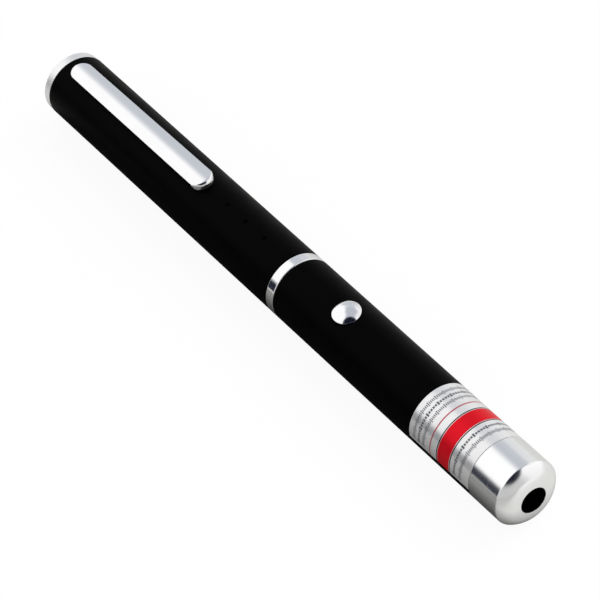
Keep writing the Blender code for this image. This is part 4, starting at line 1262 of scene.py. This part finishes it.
# %% Loft the clip
CLIP_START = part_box("pocket_clip")[0].x
ACROSS_STEPS = 32
clip_top = PEN_RADIUS + CLIP_STAND_OFF
bm = bmesh.new()
rings = []
for along in kept:
    forward, up, angle = clip_path(along)
    half = clip_half_width(along)
    top_line = []
    for step in range(ACROSS_STEPS + 1):
        across = half * (2 * step / ACROSS_STEPS - 1)
        top_line.append((across, CLIP_CROWN * (across / CLIP_TIP_HALF) ** 2))
    section = top_line + [(across, drop + CLIP_SHEET) for across, drop in reversed(top_line)]
    ring_points = []
    for across, down in section:
        x = CLIP_START + forward - down * math.sin(angle) - tip_sweep(across, along)
        ring_points.append(bm.verts.new((x, across, clip_top + up - down * math.cos(angle))))
    rings.append(ring_points)
for one, other in zip(rings, rings[1:]):
    for index in range(len(one)):
        after = (index + 1) % len(one)
        bm.faces.new((one[index], one[after], other[after], other[index]))
for ring_points in (rings[0], rings[-1]):
    for index in range(ACROSS_STEPS):
        last = len(ring_points) - 1
        corners = (ring_points[index], ring_points[index + 1])
        bm.faces.new(corners + (ring_points[last - index - 1], ring_points[last - index]))
bmesh.ops.recalc_face_normals(bm, faces=bm.faces)
print(f"{len(bm.faces)} faces before the edges are broken")

# %% Break the clip's edges and hand it over
CLIP_EDGE = 0.0001
CLIP_SHARP = math.radians(50)
sharp = [edge for edge in bm.edges if edge.calc_face_angle(0) > CLIP_SHARP]
bevel = {"offset": CLIP_EDGE, "segments": 3, "profile": 0.5, "affect": "EDGES"}
bmesh.ops.bevel(bm, geom=sharp, clamp_overlap=True, **bevel)
clip = bpy.data.meshes.new("clip_strip")
bm.to_mesh(clip)
bm.free()
clip.materials.append(CHROME)
piece(raised(clip), "clip_strip", "clip", "chrome", "pocket_clip")

# %% [markdown]
# ## Rivet, screw nipple and spring
#
# These show only when the pen is opened or seen from low down. The rivet is a stepped pin with its
# shoulder under the clip. The brass nipple is fixed in the front barrel and carries the outside
# thread, and the spring in the tail plug presses on the cells.

# %% The clip's rivet
HEAD_RADIUS = 0.0014
SHANK_RADIUS = 0.0009
SHOULDER_RADIUS = 0.0012
SHOULDER_EDGES = (0.00004, 0.00006)
RIVET_GAP = 0.0001
HEAD_TOP = math.sqrt(BORE**2 - HEAD_RADIUS**2) - RIVET_GAP
rivet_foot = rivet_low.z - AXIS_HEIGHT
rivet_top = rivet_high.z - AXIS_HEIGHT
seat = PEN_RADIUS + RIVET_GAP
corners = [
    (rivet_foot, 0, 0),
    (rivet_foot, HEAD_RADIUS, THIN_EDGE),
    (HEAD_TOP, HEAD_RADIUS, FINE_EDGE),
    (HEAD_TOP, SHANK_RADIUS, 0),
    (seat, SHANK_RADIUS, 0),
    (seat, SHOULDER_RADIUS, SHOULDER_EDGES[0]),
    (rivet_top, SHOULDER_RADIUS, SHOULDER_EDGES[1]),
    (rivet_top, 0, 0),
]
rivet = upright("clip_rivet", rounded(corners, closed=False), STEEL, RIVET_PLACE)
piece(rivet, "clip_rivet", "rear_half", "spring_steel", "clip_stud")

# %% The screw nipple
NIPPLE_START, NIPPLE_END = ends("thread_coupling")
NIPPLE_BORE = 0.0054
NIPPLE_ROOT = 0.00575
NIPPLE_EDGE = 0.00012
OUTER_STEPS = 250
nipple_step = NIPPLE_START + THREAD_LEAD + THREAD_LENGTH
corners = [
    (NIPPLE_START, NIPPLE_BORE, THIN_EDGE),
    (NIPPLE_START, NIPPLE_ROOT, NIPPLE_EDGE),
    (nipple_step, NIPPLE_ROOT, 0),
    (nipple_step, SPIGOT, FINE_EDGE),
    (NIPPLE_END, SPIGOT, EDGE),
    (NIPPLE_END, NIPPLE_BORE, INNER_EDGE),
]
nipple = turned("screw_nipple", rounded(corners), BRASS)
ridge_place = (NIPPLE_START + THREAD_LEAD, THREAD_LENGTH - THREAD_LEAD, NIPPLE_ROOT)
outer_ridge = thread_ridge("outer_ridge", BRASS, *ridge_place, steps=OUTER_STEPS)
nipple = raised(joined(nipple, outer_ridge))
piece(nipple, "screw_nipple", "front_half", "brass", "thread_coupling")

# %% The tail spring
SPRING_START, SPRING_END = ends("tail_spring")
WIRE = 0.0003
SPRING_TURNS = 3.5
SPRING_WIDE = 0.0043
SPRING_NARROW = 0.0026
SPRING_STEPS = 200
SPRING_FLAT = 0.12

# With an end size of 1 the wire doesn't thin out, so its fading share is only kept above 0
values = {
    "Steps": SPRING_STEPS,
    "Turns": SPRING_TURNS,
    "Start": SPRING_START + WIRE,
    "Length": SPRING_END - SPRING_START - 2 * WIRE,
    "First Radius": SPRING_WIDE,
    "Last Radius": SPRING_NARROW,
    "Section Radius": WIRE,
    "Flat Share": SPRING_FLAT,
    "Fade Share": 0.001,
    "End Size": 1.0,
}
spring = wound("battery_spring", STEEL, values)
piece(raised(spring), "battery_spring", "tail_spring", "spring_steel", "tail_spring")

# %% [markdown]
# ## Cells
#
# Two slim cells, end to end. A cell's can is plain, but its ends say what it is: the film is
# rolled over both rims, the flat end has a shallow pressed circle, and the other end steps up
# through a sealing groove to its button. One outline serves both, moved along.

# %% The cells
CELL_RADIUS = 0.00525
FILM_ROLL = 0.0005
STEEL_RADIUS = 0.0043
PRESSED_RADII = (0.0036, 0.0039)
PRESSED_DEPTH = 0.0002
GROOVE_RADIUS = 0.0026
GROOVE_DEPTH = 0.0003
CAP_RADII = (0.0024, 0.0019)
CAP_HEIGHT = 0.0010
CAP_STEP = 0.0001
for node, name in (("rear_cell", "cell_at_rear"), ("front_cell", "cell_at_front")):
    start, end = ends(node)
    shoulder = end - CAP_HEIGHT
    corners = [
        (start, 0, 0),
        (start, PRESSED_RADII[0], INNER_EDGE),
        (start + PRESSED_DEPTH, PRESSED_RADII[1], INNER_EDGE),
        (start + PRESSED_DEPTH, STEEL_RADIUS, 0),
        (start, FILM_EDGE_RADIUS, FINE_EDGE),
        (start, CELL_RADIUS, FILM_ROLL),
        (shoulder, CELL_RADIUS, FILM_ROLL),
        (shoulder, FILM_EDGE_RADIUS, FINE_EDGE),
        (shoulder - GROOVE_DEPTH, STEEL_RADIUS, 0),
        (shoulder - GROOVE_DEPTH, GROOVE_RADIUS, INNER_EDGE),
        (shoulder + CAP_STEP, CAP_RADII[0], INNER_EDGE),
        (shoulder + CAP_STEP, CAP_RADII[1], 0),
        (end, CAP_RADII[1], EDGE),
        (end, 0, 0),
    ]
    turned_piece(corners, JACKET, name, "cells", "cell_jacket", node, SMALL_SIDES, closed=False)

# %% [markdown]
# ## Lens and its ring
#
# Far inside the hole sits the front lens. It hardly shows, but it is what makes the hole look
# deep, and seen from straight ahead it catches light. Both faces are shallow bowls of revolution.
# The ring that holds it wears the same painted shade as the inside of the nose, a dull black that
# keeps the hole dark.

# %% The front lens and the ring that holds it
lens_start, lens_end = ends("collimator_lens")
LENS_RADIUS = 0.0035
LENS_BULGE = 0.0007
LENS_STEPS = 16
RETAINER_BORE = 0.0029
back = []
ahead = []
for step in range(LENS_STEPS + 1):
    share = step / LENS_STEPS
    rise = LENS_BULGE * share * share
    back.append((lens_start + rise, LENS_RADIUS * share, 0))
    ahead.append((lens_end - rise, LENS_RADIUS * share, 0))
corners = back + ahead[::-1]
names = ("front_lens", "front_half", "optical_glass", "collimator_lens")
turned_piece(corners, GLASS, *names, sides=SMALL_SIDES, closed=False)

ring_start, ring_end = ends("lens_ring")
corners = [
    (ring_start, RETAINER_BORE, FINE_EDGE),
    (ring_start, LENS_RADIUS, FINE_EDGE),
    (ring_end, LENS_RADIUS, FINE_EDGE),
    (ring_end, RETAINER_BORE, INNER_EDGE),
]
names = ("lens_retainer", "front_half", "brass", "lens_ring")
turned_piece(corners, PAINTED_HOLE_SHADE, *names, sides=SMALL_SIDES)

# %% [markdown]
# ## Snap dome
#
# Under the button's plunger a thin dome of spring steel clicks flat when it is pressed. It can't
# ride on a joint as a stiff piece does, so it gets a mesh of its own.

# %% The snap dome
dome_low, dome_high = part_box("switch_dome")
DOME_SHEET = 0.00015
DOME_RADIUS = 0.0013
SNAP_STEPS = 16
dome_height = dome_high.z - dome_low.z
seat = dome_low.z - AXIS_HEIGHT
outer = []
inner = []
for step in range(SNAP_STEPS + 1):
    angle = QUARTER_TURN * step / SNAP_STEPS
    outer.append((seat + dome_height * math.sin(angle), DOME_RADIUS * math.cos(angle)))
    rise = (dome_height - DOME_SHEET) * math.sin(angle)
    inner.append((seat + rise, (DOME_RADIUS - DOME_SHEET) * math.cos(angle)))
outer[-1] = (outer[-1][0], 0)
inner[-1] = (inner[-1][0], 0)
snap = upright("snap_dome", inner[::-1] + outer, STEEL, BUTTON_PLACE)
snap = piece(snap, "snap_dome", "front_half", "spring_steel", "switch_dome")
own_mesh(snap)

# %% [markdown]
# ## The rest of the works
#
# The remaining inside pieces have the right shape in the frame already, so they keep it and only
# get a finish. The record's slots say what each is made of.

# %% Finishes for the pieces kept from the frame
SLOT_FINISH = {
    "black_lacquer": LACQUER,
    "chrome": CHROME,
    "satin_chrome": SATIN,
    "foil": FILM,
    "spring_steel": STEEL,
    "brass": BRASS,
    "cell_jacket": JACKET,
    "black_plastic": BLACK_PLASTIC,
    "white_plastic": WHITE_PLASTIC,
    "board_resin": BOARD,
    "optical_glass": GLASS,
}
# The lens cell and the module housing wear the painted shade of the hole instead of their slot's
# finish
HOLE_SHADE_NODES = ("lens_cell", "module_housing")
for part in frame["record"]["subparts"]:
    node = frame["nodes"][part["node"]]
    paint = PAINTED_HOLE_SHADE if part["node"] in HOLE_SHADE_NODES else SLOT_FINISH[part["material_slot"]]
    for place in node.material_slots:
        place.material = paint

# %% [markdown]
# ## Floor
#
# A product photograph often stands its subject on paper so bright that it merges with the
# background. Here the floor is white to the camera because it gives off that white itself, with
# a little plain paper mixed in that keeps the pen's shadow. Polished metal sees another floor, a
# grey one with light and shade painted in: it darkens close beside the pen on the near side, a
# painted shadow, and is lighter on the far side, ahead of the nose and behind the tail, painted
# light as paper lit from there would be. Far ahead it glows a little, so that the dome meets no
# dark horizon.

# %% A sheet of paper
mesh = bpy.data.meshes.new("paper_floor")
corners = [(-3, -3, 0), (3, -3, 0), (3, 3, 0), (-3, 3, 0)]
mesh.from_pydata(corners, [], [(0, 1, 2, 3)])
floor = bpy.data.objects.new("paper_floor", mesh)
bpy.context.scene.collection.objects.link(floor)
PAPER = bpy.data.materials.new("white_paper")
PAPER.use_nodes = True
tree = PAPER.node_tree
tree.nodes.clear()
print(f"paper of {corners[2][0] - corners[0][0]} m by {corners[2][1] - corners[0][1]} m")

# %% The floor that polished metal sees
HORIZON_GLOW = 0.95
spot = add(tree, "ShaderNodeSeparateXYZ", {0: own_place(tree)}).outputs

# Each tone runs from one place to another across or along the floor, from the third number to
# the fourth. The near side darkens towards the pen as a painted shadow; the far side, the floor
# ahead of the nose and the floor behind the tail are lighter as painted light.
painted_shadow_near_side = spread(tree, spot[1], -0.035, -0.008, 0.36, 0.17)
painted_light_far_side = spread(tree, spot[1], -0.002, 0.012, 0.0, 0.90)
beside = calc(tree, "MAXIMUM", painted_shadow_near_side, painted_light_far_side)
ahead = spread(tree, spot[1], -0.03, 0.01, 0.72, 1.15)
past_nose = spread(tree, spot[0], NOSE_TIP - 0.006, NOSE_TIP + 0.006, 0.0, 1.0)
level = spread(tree, past_nose, 0.0, 1.0, beside, ahead)
painted_light_behind_tail = spread(tree, spot[0], TAIL_FACE, TAIL_FACE - 0.004, 0.0, 0.9)
level = calc(tree, "MAXIMUM", level, painted_light_behind_tail)
tone = mixed(tree, level, grey(0.0), (1.0, 1.0, 0.97, 1))
paper = result(tree, "ShaderNodeBsdfDiffuse", {"Color": tone})
far_off = spread(tree, spot[0], NOSE_TIP + 0.012, NOSE_TIP + 0.06, 0.0, 0.9)
far_off = calc(tree, "MULTIPLY", far_off, spread(tree, spot[1], -0.03, 0.03, 0.0, 1.0))
horizon = result(tree, "ShaderNodeEmission", {"Color": grey(1), "Strength": HORIZON_GLOW})
paper = blended(tree, far_off, paper, horizon)
print(f"{len(tree.nodes)} nodes in the floor that metal sees")

# %% The floor that the camera sees
SHADOW_SHARE = 0.1
PAPER_GLOW = 1.03
fibres = noise(tree, 900, detail=4)
glow = result(tree, "ShaderNodeEmission", {"Color": grey(1), "Strength": PAPER_GLOW})
white = mixed(tree, fibres, grey(0.97), grey(1.0))
shadow_paper = result(tree, "ShaderNodeBsdfDiffuse", {"Color": white})
seen = blended(tree, SHADOW_SHARE, glow, shadow_paper)
path = add(tree, "ShaderNodeLightPath").outputs["Is Camera Ray"]
add(tree, "ShaderNodeOutputMaterial", {"Surface": blended(tree, path, paper, seen)})
mesh.materials.append(PAPER)
floor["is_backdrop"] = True
print(f"{SHADOW_SHARE:.0%} plain paper keeps the shadow")

# %% [markdown]
# ## Studio light
#
# Polished metal is only as good as what it reflects. A photographer puts large white softboxes
# round a shiny object and leaves gaps, and the gaps draw the dark lines that show its shape. The
# world does that here: mirror rays see a white room with grey and dark soft patches in a few
# directions, while the light that falls on the object is plain and even. One large lamp on the
# far side adds a soft shadow.

# %% The white room with its patches
ROOM_WHITE = 1.05
world = bpy.data.worlds.new("white_room")
bpy.context.scene.world = world
world.use_nodes = True
world.cycles.sampling_method = "NONE"
tree = world.node_tree
tree.nodes.clear()


def towards(azimuth, elevation):
    """The direction at these angles, in degrees from +X towards +Y and up."""
    turn, lift = math.radians(azimuth), math.radians(elevation)
    level = math.cos(lift)
    return Vector((level * math.cos(turn), level * math.sin(turn), math.sin(lift)))


# Each patch: azimuth, elevation, full and outer half angle in degrees, and its colour
HAZE = (0.57, 0.595, 0.64, 1)
LILAC = (0.51, 0.53, 0.58, 1)
GAP = (0.016, 0.018, 0.034, 1)
SHADE = (0.008, 0.009, 0.02, 1)
PATCHES = (
    (20, -5, 20, 60, grey(0.93)),
    (128, 5, 15, 36, grey(0.80)),
    (92, 44, 14, 30, grey(0.90)),
    (144, 12, 8, 21, HAZE),
    (138, 38, 8, 19, HAZE),
    (124, 58, 14, 25, LILAC),
    (85, 80, 12, 24, LILAC),
    (-30, 8, 32, 62, grey(0.59)),
    (-70, 0, 30, 55, grey(0.56)),
    (-129, 6, 11, 22, GAP),
    (-35, 55, 6, 33, grey(0.14)),
    (-22, 64, 27, 34, SHADE),
)
look = add(tree, "ShaderNodeTexCoord").outputs["Generated"]
seen = grey(ROOM_WHITE)
for azimuth, elevation, full, outer, tone in PATCHES:
    centre = towards(azimuth, elevation)
    dot = add(tree, "ShaderNodeVectorMath", {0: look, 1: centre}, operation="DOT_PRODUCT")
    edge = (math.cos(math.radians(outer)), math.cos(math.radians(full)))
    inputs = {"Value": dot.outputs["Value"], "From Min": edge[0], "From Max": edge[1]}
    share = add(tree, "ShaderNodeMapRange", inputs, interpolation_type="SMOOTHSTEP")
    seen = mixed(tree, share.outputs[0], seen, tone)
print(f"{len(PATCHES)} soft patches in a white room")

# %% What mirrors see, what lights the pen and what stands behind it
FILL_LIGHT = 0.55
lights = []
for tone in (seen, grey(FILL_LIGHT), grey(1)):
    inputs = {"Color": tone, "Strength": 1.0}
    lights.append(result(tree, "ShaderNodeBackground", inputs))
room, fill, backdrop = lights
path = add(tree, "ShaderNodeLightPath").outputs
mirror = calc(tree, "MAXIMUM", path["Is Glossy Ray"], path["Is Transmission Ray"])
lit = blended(tree, mirror, fill, room)
shown = blended(tree, path["Is Camera Ray"], lit, backdrop)
add(tree, "ShaderNodeOutputWorld", {"Surface": shown})
print(f"plain light of {FILL_LIGHT} on what isn't a mirror")

# %% The lamp
LAMP_DIRECTION = towards(70, 50)
LAMP_DISTANCE = 0.9
lamp_data = bpy.data.lights.new("soft_lamp", "AREA")
lamp_data.shape = "SQUARE"
lamp_data.size = 0.5
lamp_data.energy = 2.2
lamp = bpy.data.objects.new("soft_lamp", lamp_data)
lamp.location = LAMP_DIRECTION * LAMP_DISTANCE
lamp.rotation_euler = (-LAMP_DIRECTION).to_track_quat("-Z", "Y").to_euler()
lamp.visible_glossy = False
bpy.context.scene.collection.objects.link(lamp)
print(f"lamp of {lamp_data.energy:.1f} W, {LAMP_DISTANCE} m away")

# %% [markdown]
# ## Camera
#
# The view is from above the nose, with a long lens that hardly narrows the far end. The camera
# is also rolled, which is why the pen crosses the picture from corner to corner. A look-at
# rotation gives the first two angles, and the roll is added about the camera's own axis.

# %% The camera
CAMERA_PLACE = Vector((0.43794437, -0.1946464, 0.5140712))
CAMERA_AIM = Vector((0.00686182, -0.00181436, 0.007))
CAMERA_ROLL = math.radians(-16.186)

camera_data = bpy.data.cameras.new("camera")
camera_data.lens = 215.6546
camera_data.sensor_width = 36
camera = bpy.data.objects.new("camera", camera_data)
camera.location = CAMERA_PLACE
gaze = (CAMERA_AIM - camera.location).to_track_quat("-Z", "Y")
roll = Quaternion((0, 0, 1), CAMERA_ROLL)
camera.rotation_mode = "QUATERNION"
camera.rotation_quaternion = gaze @ roll
camera_data.clip_start = 0.01
bpy.context.scene.collection.objects.link(camera)
bpy.context.scene.camera = camera
bpy.context.scene.view_settings.view_transform = "Standard"
distance = (CAMERA_AIM - CAMERA_PLACE).length
print(f"camera {distance:.2f} m away with a {camera_data.lens:.0f} mm lens")

# %% Print the sizes of what is shown
visual_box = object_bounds()
for side, low, high in zip("xyz", visual_box[0], visual_box[1]):
    print(f"{side}: {low * 1000:.2f} to {high * 1000:.2f} mm")
